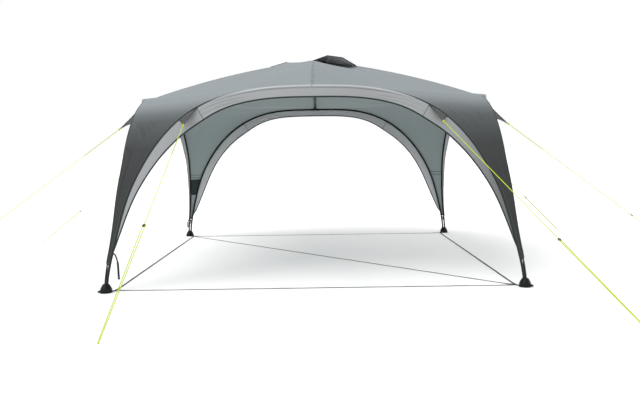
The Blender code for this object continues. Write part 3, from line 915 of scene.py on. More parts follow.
def bevel_edges(piece, width):
    """Round the sharp edges of a modelled piece."""
    modifier = piece.modifiers.new("Rounded edges", "BEVEL")
    modifier.width = width
    modifier.segments = 2
    modifier.limit_method = "ANGLE"
    modifier.angle_limit = SHARP_ANGLE
    apply_modifiers(piece)


def turned_piece(profile, sides=48):
    """A solid turned about Z: a disc that is extruded and scaled ring by ring along its profile."""
    (radius, height), *rest = profile
    deselect_all()
    bpy.ops.mesh.primitive_circle_add(vertices=sides, radius=radius, fill_type="NGON",
                                      location=(0, 0, height))
    piece = bpy.context.active_object
    apply_place(piece)
    bpy.ops.object.mode_set(mode="EDIT")
    bpy.ops.mesh.select_all(action="SELECT")
    for next_radius, next_height in rest:
        bpy.ops.mesh.extrude_region_move(TRANSFORM_OT_translate={"value": (0, 0, next_height - height)})
        share = next_radius / radius
        bpy.ops.transform.resize(value=(share, share, 1), center_override=(0, 0, next_height))
        radius, height = next_radius, next_height
    bpy.ops.mesh.select_all(action="SELECT")
    bpy.ops.mesh.normals_make_consistent(inside=False)
    leave_edit()
    return piece


def bend_along(points, radius, sides=20, cuts=110):
    """A rod that is subdivided along its length and bent onto a guide curve."""
    length = Line(points).length
    piece = start_cylinder(radius, length, (0, 0, length / 2), sides)
    apply_place(piece)
    select_parts(piece, "EDGE", lambda edge: edge.calc_length() > length / 2)
    bpy.ops.mesh.subdivide(number_cuts=cuts)
    leave_edit()
    curve = bpy.data.curves.new("guide", "CURVE")
    curve.dimensions = "3D"
    spline = curve.splines.new("POLY")
    spline.points.add(len(points) - 1)
    for spline_point, point in zip(spline.points, points):
        spline_point.co = (*point, 1.0)
    guide = bpy.data.objects.new("guide", curve)
    bpy.context.scene.collection.objects.link(guide)
    modifier = piece.modifiers.new("Bend", "CURVE")
    modifier.object = guide
    modifier.deform_axis = "POS_Z"
    apply_modifiers(piece)
    bpy.data.objects.remove(guide, do_unlink=True)
    return piece


def sleeve(radius, length, centre, axis, sides=24):
    """A short round sleeve with softened ends, centred on a place and along an axis."""
    piece = start_cylinder(radius, length, sides=sides)
    bevel_edges(piece, min(SLEEVE_ROUNDING, radius * ROUNDING_SHARE))
    move_mesh(piece, place_axes(centre, axis.orthogonal(), axis))
    return piece


def finish_fitting(piece, name, material, replaced=()):
    """Name, smooth, colour and dress a modelled fitting."""
    piece.name = name
    shade_smooth(piece)
    give_material(piece, material)
    return dress(piece, replaced)


# Materials

# Scale at which a wave texture makes one band a metre, and the colour sockets of a mix node
ONE_BAND = math.tau / 20
MIX_ENTRIES = (0, 6, 7)
MIX_RESULT = 2

# Cloth: shares of the clouds and of the slub threads in its colour, and the size of its weave
CLOUD_SHARE = 0.16
CLOUD_SHADE = 0.62
SLUB_SCALE = (60, 1100, 1)
SLUB_SHARE = 0.10
SLUB_SHADE = 1.35
WEAVE_PITCH = 0.0013
WEAVE_SHARE = 0.08
TAPE_PITCH = 0.0012

# Stretch of the fibres in webbing, and of the rubbed places along a pole
FIBRE_SCALE = (600, 200, 1)
RUB_SCALE = (6, 6, 2)

# How light each trim is, as a share of the colour of its cloth
ROOF_THREAD = 0.74
RIDGE_THREAD = 0.87
VISOR_FAR_END = 0.42
# Painted light: the visors' inner face is drawn much lighter than their cloth
VISOR_LINING_LIGHT = 1.75
VISOR_SEAM = 0.45
# Painted shadow: the seam below the roll is drawn this much darker than the visor, for the shade under the
# roll
STITCHING_AND_SHADOW = 0.68
# Painted highlight: the front visor's roll over the pole is this much lighter than the visor, as its top
# catches the light
FRONT_ROLL_HIGHLIGHT = 1.5
TAB_LINING = 0.75

# Canopy: share of the roof's colour over that of the corners, at heights in metres. The fade is partly the
# cloth's own two tones and partly painted sheen, where the upper curve of each corner catches the light
CANOPY_TONES_AND_SHEEN = ((0.30, 0.0), (0.95, 0.02), (1.18, 0.045), (1.34, 0.155), (1.43, 0.235), (1.49, 0.40),
               (1.545, 0.66), (1.60, 0.90), (1.66, 1.0))
CANOPY_CLOUDS = 0.10


class Nodes:
    """Short ways to add nodes to one material or to the world."""

    def __init__(self, name, **sockets):
        self.material = bpy.data.materials.new(name)
        self.material.use_nodes = True
        self.tree = self.material.node_tree
        self.shader = self.tree.nodes["Principled BSDF"]
        for key, value in sockets.items():
            self.shader.inputs[key.replace("_", " ")].default_value = value

    @classmethod
    def over(cls, owner, shader="Principled BSDF"):
        """Add to a material or world that is already made."""
        nodes = cls.__new__(cls)
        nodes.tree = owner.node_tree
        nodes.shader = nodes.tree.nodes[shader]
        return nodes

    def add(self, kind, **values):
        node = self.tree.nodes.new(kind)
        for key, value in values.items():
            setattr(node, key, value)
        return node

    def link(self, output, entry):
        self.tree.links.new(output, entry)

    def fill(self, entry, value):
        """Put a number or colour on a socket, or link another node's output to it."""
        if isinstance(value, bpy.types.NodeSocket):
            self.link(value, entry)
        elif isinstance(value, (tuple, list)):
            entry.default_value = (*value, 1.0)
        else:
            entry.default_value = value

    def place(self, source, scale=(1, 1, 1), turn=0.0):
        """Coordinates from the UV map or the object, scaled and turned."""
        coordinates = self.add("ShaderNodeTexCoord")
        mapping = self.add("ShaderNodeMapping")
        mapping.inputs["Scale"].default_value = scale
        mapping.inputs["Rotation"].default_value = (0, 0, turn)
        self.link(coordinates.outputs[source], mapping.inputs["Vector"])
        return mapping.outputs["Vector"]

    def noise(self, scale, detail, roughness=0.5, vector=None):
        """Cloudy noise, on the object's own coordinates where no others are given."""
        node = self.add("ShaderNodeTexNoise")
        node.inputs["Scale"].default_value = scale
        node.inputs["Detail"].default_value = detail
        node.inputs["Roughness"].default_value = roughness
        self.link(vector or self.place("Object"), node.inputs["Vector"])
        return node.outputs["Fac"]

    def bands(self, pitch, direction="X", turn=0.0):
        """Soft ribs of the given pitch across or along the UV map."""
        node = self.add("ShaderNodeTexWave", wave_type="BANDS", bands_direction=direction)
        node.inputs["Scale"].default_value = ONE_BAND / pitch
        self.link(self.place("UV", turn=turn), node.inputs["Vector"])
        return node.outputs["Fac"]

    def math(self, operation, first, second):
        node = self.add("ShaderNodeMath", operation=operation)
        self.fill(node.inputs[0], first)
        self.fill(node.inputs[1], second)
        return node.outputs["Value"]

    def ramp(self, factor, stops):
        node = self.add("ShaderNodeValToRGB")
        elements = node.color_ramp.elements
        while len(elements) < len(stops):
            elements.new(0.5)
        for element, (position, colour) in zip(elements, stops):
            element.position = position
            element.color = (*colour, 1.0)
        self.link(factor, node.inputs["Fac"])
        return node.outputs["Color"]

    def mix(self, factor, first, second):
        node = self.add("ShaderNodeMix", data_type="RGBA")
        for index, value in zip(MIX_ENTRIES, (factor, first, second)):
            self.fill(node.inputs[index], value)
        return node.outputs[MIX_RESULT]

    def bump(self, height, strength, distance):
        node = self.add("ShaderNodeBump")
        node.inputs["Strength"].default_value = strength
        node.inputs["Distance"].default_value = distance
        self.link(height, node.inputs["Height"])
        self.link(node.outputs["Normal"], self.shader.inputs["Normal"])

    def split(self, source):
        """The X, Y and Z sockets of a coordinate."""
        coordinates = self.add("ShaderNodeTexCoord")
        parts = self.add("ShaderNodeSeparateXYZ")
        self.link(coordinates.outputs[source], parts.inputs["Vector"])
        return parts.outputs

    def between(self, value, limits, strengths=(0.0, 1.0), form="SMOOTHSTEP"):
        """A value that runs from the first to the last strength between two limits."""
        node = self.add("ShaderNodeMapRange", interpolation_type=form)
        for key, number in zip(("From Min", "From Max", "To Min", "To Max"), (*limits, *strengths)):
            node.inputs[key].default_value = number
        self.link(value, node.inputs["Value"])
        return node.outputs["Result"]

    def object_height(self, limits, tilt=0.0):
        """How high a place is, from 0 at the low limit to 1 at the high one, tilted towards +X; on the
        canopy the tilt is painted shade on the right side.
        """
        parts = self.split("Object")
        rightward = self.math("MULTIPLY", self.math("MAXIMUM", parts["X"], 0.0), tilt)
        return self.between(self.math("SUBTRACT", parts["Z"], rightward), limits, form="LINEAR")

    def clouds(self, share):
        """Faint large clouds, as cloth shows where it has creased."""
        noise = self.noise(scale=3.0, detail=4.0, roughness=0.6)
        return self.math("MULTIPLY", noise, share)

    def colour(self, value):
        self.fill(self.shader.inputs["Base Color"], value)

    def roughen(self, pattern, share, least):
        """Let a pattern add to the least roughness."""
        self.link(self.math("ADD", self.math("MULTIPLY", pattern, share), least),
                  self.shader.inputs["Roughness"])

    def tint(self, factor, colour):
        """Mix one more colour over the one that the material already has."""
        plain = self.shader.inputs["Base Color"].links[0].from_socket
        self.colour(self.mix(factor, plain, colour))


def shade(colour, share):
    """A colour made darker or lighter by a share of itself."""
    return tuple(min(1.0, part * share) for part in colour)


def cloth_material(name, colour, roughness=0.68, sheen=0.03, specular=0.10):
    """Coated polyester: a plain weave, thicker slub threads and faint clouds where it has creased."""
    nodes = Nodes(name, Roughness=roughness, Sheen_Weight=sheen, Sheen_Roughness=0.5,
                  Specular_IOR_Level=specular)
    slubs = nodes.noise(scale=1.0, detail=2.0, vector=nodes.place("UV", SLUB_SCALE))
    cloudy = nodes.mix(nodes.clouds(CLOUD_SHARE), colour, shade(colour, CLOUD_SHADE))
    nodes.colour(nodes.mix(nodes.math("MULTIPLY", slubs, SLUB_SHARE), cloudy, shade(colour, SLUB_SHADE)))
    weave = nodes.math("MAXIMUM", nodes.bands(WEAVE_PITCH, "X"), nodes.bands(WEAVE_PITCH, "Y"))
    puckers = nodes.noise(scale=26.0, detail=2.0)
    relief = nodes.math("ADD", nodes.math("MULTIPLY", weave, WEAVE_SHARE), puckers)
    nodes.bump(relief, strength=0.22, distance=0.0012)
    return nodes.material


def visor_material(name, colour, far_share):
    """Visor cloth that grows darker towards its right foot, where it turns away from the light."""
    material = cloth_material(name, colour)
    nodes = Nodes.over(material)
    nodes.tint(nodes.between(nodes.split("Object")["X"], SHADE_REACH), shade(colour, far_share))
    return material


def capped_material(name, colour, cap):
    """Visor cloth that takes on the roof's colour where it passes over the top of the arch."""
    material = cloth_material(name, colour)
    nodes = Nodes.over(material)
    nodes.tint(nodes.object_height(CAP_HEIGHTS), cap)
    return material


def canopy_material(roof, corner):
    """The canopy's cloth, whose colour fades from the roof down to the corners: partly its own two tones
    and partly painted sheen, with painted shade that starts the fade higher on the right.
    """
    material = cloth_material("canopy_cloth", roof, roughness=0.70, sheen=0.01, specular=0.05)
    nodes = Nodes.over(material)
    low, high = CANOPY_TONES_AND_SHEEN[0][0], CANOPY_TONES_AND_SHEEN[-1][0]
    stops = [((height - low) / (high - low),
              tuple(dark + (light - dark) * share for dark, light in zip(corner, roof)))
             for height, share in CANOPY_TONES_AND_SHEEN]
    # Painted sheen and painted shade: the ramp lightens the upper curve of each corner beyond its own two
    # tones, and the tilt darkens the right side
    fade = nodes.ramp(nodes.object_height((low, high), PAINTED_SHADE_TILT), stops)
    nodes.colour(nodes.mix(nodes.clouds(CANOPY_CLOUDS), fade, corner))
    return material


def webbing_material(name, colour, pitch=0.0016):
    """Woven webbing with a herringbone of ribs."""
    nodes = Nodes(name, Roughness=0.8, Sheen_Weight=0.08, Sheen_Roughness=0.4, Specular_IOR_Level=0.15)
    contrast, fuzz, rib_share = 0.5, 0.3, 2.4
    slanted = nodes.bands(pitch, "X", turn=math.radians(35))
    ribs = nodes.bands(pitch * rib_share, "X")
    fibres = nodes.noise(scale=1.0, detail=2.0, vector=nodes.place("UV", FIBRE_SCALE))
    woven = nodes.mix(nodes.math("MULTIPLY", slanted, contrast), shade(colour, 0.7), shade(colour, 1.4))
    nodes.colour(nodes.mix(nodes.math("MULTIPLY", fibres, fuzz), woven, colour))
    nodes.bump(nodes.math("ADD", slanted, ribs), strength=0.4, distance=0.0004)
    return nodes.material


def cord_material(name, colour):
    """Braided cord: two sets of crossing strands."""
    nodes = Nodes(name, Roughness=0.6, Specular_IOR_Level=0.2)
    pitch, slant = 0.0016, math.radians(40)
    braid = nodes.math("MULTIPLY", nodes.bands(pitch, "X", slant), nodes.bands(pitch, "X", -slant))
    nodes.colour(nodes.mix(braid, shade(colour, 0.72), colour))
    nodes.bump(braid, strength=0.35, distance=0.0003)
    return nodes.material


def pole_material(name, colour):
    """Powder-coated steel with a faint orange peel and a little rubbed brightness."""
    nodes = Nodes(name, Specular_IOR_Level=0.20)
    peel = nodes.noise(scale=900.0, detail=2.0)
    rubbed = nodes.noise(scale=2.0, detail=5.0, roughness=0.7, vector=nodes.place("Object", RUB_SCALE))
    nodes.colour(nodes.ramp(rubbed, ((0.0, colour), (0.60, colour), (1.0, shade(colour, 3.0)))))
    nodes.roughen(rubbed, 0.18, 0.24)
    nodes.bump(peel, strength=0.12, distance=0.0002)
    return nodes.material


def plastic_material(name, colour, roughness=0.42):
    """Moulded plastic with a fine grain and dust in the low places."""
    nodes = Nodes(name, Specular_IOR_Level=0.12)
    grain = nodes.noise(scale=1400.0, detail=2.0)
    dust = nodes.noise(scale=22.0, detail=5.0, roughness=0.65)
    nodes.colour(nodes.ramp(dust, ((0.0, colour), (0.55, colour), (1.0, shade(colour, 2.6)))))
    nodes.roughen(dust, 0.2, roughness - 0.1)
    nodes.bump(grain, strength=0.2, distance=0.0002)
    return nodes.material


def net_material(name, colour, cell=0.0024):
    """Insect mesh: a square net of dark threads."""
    nodes = Nodes(name, Roughness=0.85, Specular_IOR_Level=0.1)
    net = nodes.math("MAXIMUM", nodes.bands(cell, "X"), nodes.bands(cell, "Y"))
    nodes.colour(nodes.mix(net, shade(colour, 0.35), colour))
    nodes.bump(net, strength=0.6, distance=0.0006)
    return nodes.material


def floor_material(colour):
    nodes = Nodes("pale_floor", Roughness=0.9, Specular_IOR_Level=0.0)
    clouds = nodes.noise(scale=0.8, detail=3.0)
    nodes.colour(nodes.mix(clouds, colour, shade(colour, 0.995)))
    return nodes.material


# Settings that a user would change

def colour_property(name, description, default):
    return FloatVectorProperty(name=name, description=description, default=default, subtype="COLOR",
                               min=0.0, max=1.0)


def length_property(name, description, default, most):
    return FloatProperty(name=name, description=description, default=default, min=0.0, max=most,
                         unit="LENGTH")


class ShelterClothSettings(bpy.types.PropertyGroup):
    """Colours and tapes of the cloth."""

    roof: colour_property("Roof", "Colour of the roof cloth", (0.208, 0.234, 0.245))
    corner: colour_property("Corner", "Colour of the corners near the ground", (0.024, 0.0255, 0.0255))
    visor: colour_property("Visor", "Colour of the visors", (0.228, 0.237, 0.243))
    lining: colour_property("Lining", "Colour of the canopy's inner face", (0.223, 0.265, 0.265))
    binding: colour_property("Binding", "Colour of the bindings and bands", (0.022, 0.027, 0.027))
    tab: colour_property("Guy tab", "Colour of the guy tabs", (0.060, 0.0625, 0.0625))
    # Painted light: the hoods' dark underside is given a light grey, to stand in for the light that
    # reaches under the hood
    lit_hood_lining: colour_property("Hood lining", "Colour under the vent hoods", (0.60, 0.62, 0.63))
    net: colour_property("Mesh", "Colour of the vent mesh", (0.075, 0.080, 0.080))
    binding_width: length_property("Binding width", "Width of the visors' edge binding", 0.013, 0.03)


class ShelterFittingSettings(bpy.types.PropertyGroup):
    """Colours and sizes of poles, plastic parts, webbing and cords."""

    pole: colour_property("Pole", "Colour of the poles", (0.004, 0.0055, 0.0055))
    plastic: colour_property("Plastic", "Colour of hubs and feet", (0.003, 0.0055, 0.005))
    webbing: colour_property("Webbing", "Colour of straps and ties", (0.022, 0.028, 0.029))
    pale_webbing: colour_property("Pale webbing", "Colour of the leg webbing", (0.26, 0.27, 0.27))
    guy: colour_property("Guy line", "Colour of the guy lines", (0.46, 0.62, 0.012))
    runner: colour_property("Runner", "Colour of the guy runners", (0.035, 0.040, 0.018))
    guy_radius: length_property("Guy line radius", "Radius of the guy lines", 0.0030, 0.004)
    pole_radius: length_property("Pole radius", "Outer radius of the poles", POLE_RADIUS, 0.02)


class ShelterStageSettings(bpy.types.PropertyGroup):
    """Floor and lights."""

    floor: colour_property("Floor", "Colour of the floor", (0.88, 0.88, 0.88))
    ring: FloatProperty(name="Ring", description="Brightness of the surround above the horizon",
                        default=1.6, min=0.0, max=5.0)
    sides: FloatProperty(name="Sides", description="Brightness of the surround low at the sides and front",
                         default=2.3, min=0.0, max=5.0)
    zenith: FloatProperty(name="Zenith", description="Brightness of the surround overhead",
                          default=0.3, min=0.0, max=5.0)
    key: FloatProperty(name="Key", description="Strength of the large soft key light",
                       default=1.5, min=0.0, max=20.0)


class SHELTER_OT_canopy(bpy.types.Operator):
    """Sew the canopy: one continuous sheet over the ridges, with a corner down each leg"""

    bl_idname = "shelter.canopy"
    bl_label = "Canopy"

    def quadrant_rows(self, vented):
        """Rows of cloth from the middle of the roof down to the hem of one corner."""
        first = VENT_REACH if vented else 0.0
        last = APEX_REACH - ROOF_END
        sill = SILL_SAG if vented else 0.0
        roof = [roof_row(reach, sill) for reach in spread(first, last, ROOF_ROWS)]
        return roof + [corner_row(distance)
                       for distance in spread(ARCH.length, HEM_DISTANCE, CORNER_ROWS)]

    def fold_lift(self, point, share, chord, folds, level_folds):
        """How far the folds of a corner raise one point of its cloth."""
        lift = 0.0
        for at, height, length, slant, width, rise in folds:
            aside = (share - at - slant * (point.z - height)) * chord
            lift += rise * bell(point.z - height, length) * bell(aside, width)
        for height, at, reach, fall, width, rise in level_folds:
            drop = point.z - height - fall * (share - at)
            lift += rise * bell(drop, width) * bell(share - at, reach)
        count, rise, place, reach = HUB_CREASES
        for apex in (ARCH.points[-1], mirror_corner(ARCH.points[-1])):
            offset = point - apex
            turn = math.atan2(offset.z, math.hypot(offset.x, offset.y))
            lift += rise * math.sin(count * turn) * bell(offset.length - place, reach)
        return lift

    def press(self, rows, folds, level_folds):
        """Press soft folds into one corner, and small creases round its two apex hubs."""
        plain = [list(row) for row in rows]
        for index in range(ROOF_ROWS - FOLD_ROWS, len(rows) - 1):
            chord = (plain[index][-1] - plain[index][0]).length
            for column in range(1, ACROSS):
                point = plain[index][column]
                run_across = plain[index][column + 1] - plain[index][column - 1]
                run_down = plain[index + 1][column] - plain[index - 1][column]
                normal = run_across.cross(run_down).normalized()
                normal = normal if normal.dot(CORNER_RISE) > 0 else -normal
                share = COLUMNS[column]
                lift = self.fold_lift(point, share, chord, folds, level_folds)
                edge = ease(min(share, 1 - share) / FOLD_EDGE)
                rows[index][column] = point + normal * lift * edge

    def execute(self, context):
        settings = context.scene.shelter_cloth
        outer = canopy_material(settings.roof[:], settings.corner[:])
        inner = cloth_material("canopy_lining", settings.lining[:])
        shape = bmesh.new()
        for turns, corner in enumerate(CORNERS):
            rows = self.quadrant_rows(turns in VENT_TURNS)
            self.press(rows, LEFT_FOLDS if corner == "front_left" else SOFT_FOLDS,
                       LEVEL_FOLDS if corner == "front_right" else ())
            add_grid(shape, turned_rows(rows, turns))
        bmesh.ops.remove_doubles(shape, verts=shape.verts, dist=WELD)
        bmesh.ops.recalc_face_normals(shape, faces=shape.faces)
        face_towards(shape, UP)
        canopy = mesh_object("canopy", shape)
        give_material(canopy, outer, inner)
        thicken(canopy, CLOTH)
        dress(canopy, ["corner_panel_" + corner for corner in CORNERS]
              + ["roof_panel_" + corner for corner in CORNERS])
        seams = self.seams(context)
        return {"FINISHED"}

    def seam(self, name, points, outward, width, material):
        """A flat seam that lies on the cloth."""
        stations = []
        for index, point in enumerate(points):
            run = points[min(index + 1, len(points) - 1)] - points[max(index - 1, 0)]
            stations.append((point, run.cross(outward), outward, width))
        return dress(tape_piece(name, stations, SEAM_THICKNESS, material))

    def corner_seam(self, name, distance, turns, material, offset=0.0, inset=0):
        """A seam across a corner at one distance up the arch."""
        normal = (corner_normal(distance) + mirror_corner(corner_normal(distance))).normalized()
        row = corner_row(distance)
        points = [quarter_turn(point + normal * offset, turns) for point in row[inset:len(row) - inset]]
        return self.seam(name, points, quarter_turn(normal, turns), SEAM_WIDTH, material)

    def seams(self, context):
        """Seams between roof and corners, over the ridges and round the foot of each corner."""
        settings = context.scene.shelter_cloth
        thread = cloth_material("seam_thread", shade(settings.roof[:], ROOF_THREAD))
        ridge_thread = cloth_material("ridge_seam_thread", shade(settings.roof[:], RIDGE_THREAD))
        dark = webbing_material("hem_tape", settings.binding[:], TAPE_PITCH)
        pieces = []
        for turns, corner in enumerate(CORNERS):
            pieces.append(self.corner_seam("roof_seam_" + corner, arch_distance(across=ROOF_SEAM_X), turns,
                                           thread))
            for number, height in enumerate(FOOT_SEAM_HEIGHTS):
                for face, offset in (("outer", 0.0), ("inner", -CLOTH)):
                    pieces.append(self.corner_seam(f"foot_seam_{corner}_{number + 1}_{face}",
                                                   arch_distance(height=height), turns, dark, offset, 1))
            pieces.append(self.hem(corner, turns, dark))
        low, high = RIDGE_SEAM_ENDS
        reaches = spread(VENT_REACH + low, APEX_REACH - high, SEAM_STEPS)
        for turns, side in enumerate(SIDES):
            points = [quarter_turn(roof_row(reach)[0], turns) for reach in reaches]
            pieces.append(self.seam("ridge_seam_" + side, points, UP, RIDGE_SEAM_WIDTH, ridge_thread))
        return pieces

    def hem(self, corner, turns, material):
        """The dark tape folded over the canopy's lower edge."""
        low = corner_row(HEM_DISTANCE)
        high = corner_row(HEM_DISTANCE + HEM_BAND)
        normal = corner_normal(HEM_DISTANCE)
        stations = [(below.lerp(over, 0.5) - normal * CLOTH / 2, over - below, normal, HEM_BAND)
                    for below, over in zip(low, high)]
        hem = tape_piece("hem_tape_" + corner, turned_stations(stations, turns), HEM_THICKNESS, material)
        return dress(hem)


class SHELTER_OT_visors(bpy.types.Operator):
    """Hang a visor from each arch, with a dark band over the pole and a binding below"""

    bl_idname = "shelter.visors"
    bl_label = "Visors"

    def execute(self, context):
        settings = context.scene.shelter_cloth
        outer = capped_material("visor_cloth", settings.visor[:], settings.roof[:])
        front_outer = visor_material("front_visor_cloth", settings.visor[:], VISOR_FAR_END)
        # Painted light on the visors' inner face
        lining = cloth_material("visor_lining_lit", shade(settings.visor[:], VISOR_LINING_LIGHT))
        tape = webbing_material("binding_tape", settings.binding[:], TAPE_PITCH)
        seam = cloth_material("visor_seam", shade(settings.visor[:], VISOR_SEAM))
        roll = cloth_material("visor_roll", settings.roof[:])
        # Painted highlight on the roll over the front pole
        front_roll_highlight = cloth_material("front_visor_roll_highlight", shade(settings.visor[:], FRONT_ROLL_HIGHLIGHT))
        # A real seam, drawn darker as painted shadow under the roll
        seam_and_shadow = cloth_material("visor_stitching_and_shadow", shade(settings.visor[:], STITCHING_AND_SHADOW))
        distances = spread(HEM_DISTANCE, ARCH.length, VISOR_ROWS)
        for turns, side in enumerate(SIDES):
            outward = quarter_turn(FRONT, turns)
            slack = REAR_SLACK if side == "rear" else 0.0
            right = [visor_row(distance, slack) for distance in distances]
            left = [[mirror_side(point) for point in row] for row in reversed(right[:-1])]
            here = turned_rows(right + left, turns)
            cloth = front_outer if side == "front" else outer
            visor = sheet_piece("visor_cloth_" + side, here, outward, CLOTH, cloth, lining)
            dress(visor, ["visor_" + side])
            trims = [self.binding(side, here, outward, settings.binding_width, tape),
                     *self.crown(side, turns, front_roll_highlight if side == "front" else roll, seam_and_shadow)]
            for sign, half in ((1, "right"), (-1, "left")):
                trims.append(self.band(f"visor_band_{side}_{half}", turns, sign, tape))
                trims.append(self.cross_seam(f"visor_seam_{side}_{half}", turns, sign, seam))
        return {"FINISHED"}

    def binding(self, side, rows, outward, width, material):
        """A tape folded over the visor's lower edge."""
        stations = []
        for row in rows:
            inward = (row[-3] - row[-1]).normalized()
            middle = row[-1] + inward * width * BINDING_LAP - outward * CLOTH / 2
            stations.append((middle, inward, outward, width))
        binding = tape_piece("visor_binding_" + side, stations, BINDING_THICKNESS, material)
        return dress(binding)

    def band(self, name, turns, sign, material):
        """A dark band over the outer side of the pole, which hangs below it on the legs."""
        rows = []
        for distance in spread(HEM_DISTANCE, arch_distance(across=BAND_END_X), BAND_STEPS):
            centre = ARCH.at(distance)
            fade = ease((centre.x - BAND_END_X) / BAND_FADE)
            wrap = visor_wrap(distance, BAND_PROUD, BAND_WRAP,
                              BAND_LEAST_REACH + (1 - BAND_LEAST_REACH) * fade)
            cloth = corner_row(distance)
            lap_share = BAND_LEAST_LAP + (1 - BAND_LEAST_LAP) * fade
            lap = wrap[0] + (cloth[2] - cloth[0]).normalized() * BAND_LAP * lap_share
            last = wrap[-1] * 2 - wrap[-2]
            if fade > BAND_FULL:
                hang = BAND_HANG * ease((centre.x - BAND_HANG_X) / BAND_FADE)
                share = min(BAND_MOST_HANG, hang / visor_width(centre.z))
                last = visor_hang(distance, share, BAND_PROUD)
            rows.append([to_side(point, turns, sign) for point in (lap, *wrap, last)])
        outward = to_side(CORNER_RISE, turns, sign)
        return dress(sheet_piece(name, rows, outward, BAND_THICKNESS, material))

    def crown(self, side, turns, material, seam):
        """The smooth roll of cloth over the top of the pole, drawn lighter on the front as a painted
        highlight, and the seam just below it, drawn darker as its own painted shadow.
        """
        roll_width, roll_growth, roll_thickness = CROWN_ROLL
        seam_width, seam_growth, seam_thickness = CROWN_SEAM
        half_roll, half_seam = [], []
        for distance in spread(arch_distance(across=CROWN_END_X), ARCH.length, CROWN_STEPS):
            centre, along = arch_at(distance)
            fade = ease((CROWN_END_X - centre.x) / CROWN_FADE)
            top = visor_wrap(distance, steps=CROWN_WRAP)[CROWN_POINT]
            outward = (top - centre).normalized()
            half_roll.append((top, along.cross(outward), outward, roll_width + roll_growth * fade))
            below = visor_hang(distance, CROWN_SEAM_SHARE)
            half_seam.append((below, along.cross(FRONT), FRONT, seam_width + seam_growth * fade))
        pieces = []
        for name, half, thickness, cloth in (("visor_roll_", half_roll, roll_thickness, material),
                                             ("visor_stitch_and_shadow_", half_seam, seam_thickness, seam)):
            other = [(mirror_side(place), -mirror_side(across), mirror_side(outward), width)
                     for place, across, outward, width in reversed(half[:-1])]
            tape = tape_piece(name + side, turned_stations(half + other, turns), thickness, cloth)
            pieces.append(dress(tape))
        return pieces

    def cross_seam(self, name, turns, sign, material):
        """The flat seam across the visor beside the guy tab."""
        distance = arch_distance(across=VISOR_SEAM_X)
        _, along = arch_at(distance)
        outward = quarter_turn(FRONT, turns)
        stations = [(to_side(point - FRONT * CLOTH / 2, turns, sign), to_side(along, turns, sign), outward,
                     VISOR_SEAM_WIDTH) for point in visor_row(distance)[WRAP_STEPS:]]
        return dress(tape_piece(name, stations, VISOR_SEAM_THICKNESS, material))


class SHELTER_OT_guy_tabs(bpy.types.Operator):
    """Sew the guy tabs to the visors, each with two bound edges"""

    bl_idname = "shelter.guy_tabs"
    bl_label = "Guy tabs"

    def execute(self, context):
        settings = context.scene.shelter_cloth
        cloth = cloth_material("tab_cloth", settings.tab[:])
        under = cloth_material("tab_lining", shade(settings.tab[:], TAB_LINING))
        tape = webbing_material("tab_tape", settings.binding[:], TAPE_PITCH)
        for turns, sign, side, neighbour in half_sides():
            self.tab(f"{side}_{neighbour}", side, turns, sign, (cloth, under, tape))
        return {"FINISHED"}

    def roots(self):
        """The two ends of the tab's sewn edge, over the pole."""
        found = []
        for across in TAB_SPAN:
            centre, away, _ = visor_axes(arch_distance(across=across))
            found.append(centre + away * (cloth_radius(centre.x) + TAB_SEAT))
        return found

    def tab(self, label, side, turns, sign, materials):
        """A dished triangle of cloth that narrows to a tip, where the guy line starts."""
        first, second = self.roots()
        tip_half = (second - first).normalized() * TAB_TIP_WIDTH / 2
        under = Vector((0, 1, -1)).normalized()
        rows = []
        for share in spread(0, 1, TAB_ROWS):
            left = first.lerp(TAB_TIP - tip_half, share)
            right = second.lerp(TAB_TIP + tip_half, share)
            waist = 1 - TAB_WAIST * math.sin(math.pi * share)
            row = []
            for across in spread(0, 1, TAB_COLUMNS):
                point = left.lerp(right, 0.5 + (across - 0.5) * waist)
                dish = TAB_DISH * math.sin(math.pi * share) * math.sin(math.pi * across)
                pleat = TAB_PLEAT * math.sin(math.tau * 2 * across) * share * (1 - share) * 4
                row.append(to_side(point + under * (dish + pleat), turns, sign))
            rows.append(row)
        cloth, lining, tape = materials
        piece = sheet_piece("guy_tab_" + label, rows, UP, TAB_THICKNESS, cloth, lining)
        dress(piece)
        for name, column, inner in (("outer", 0, 1), ("inner", -1, -2)):
            stations = [(row[column], row[inner] - row[column], UP, TAB_EDGE_WIDTH) for row in rows]
            edge = tape_piece(f"tab_edge_{label}_{name}", stations, TAB_EDGE_THICKNESS, tape)
            dress(edge)


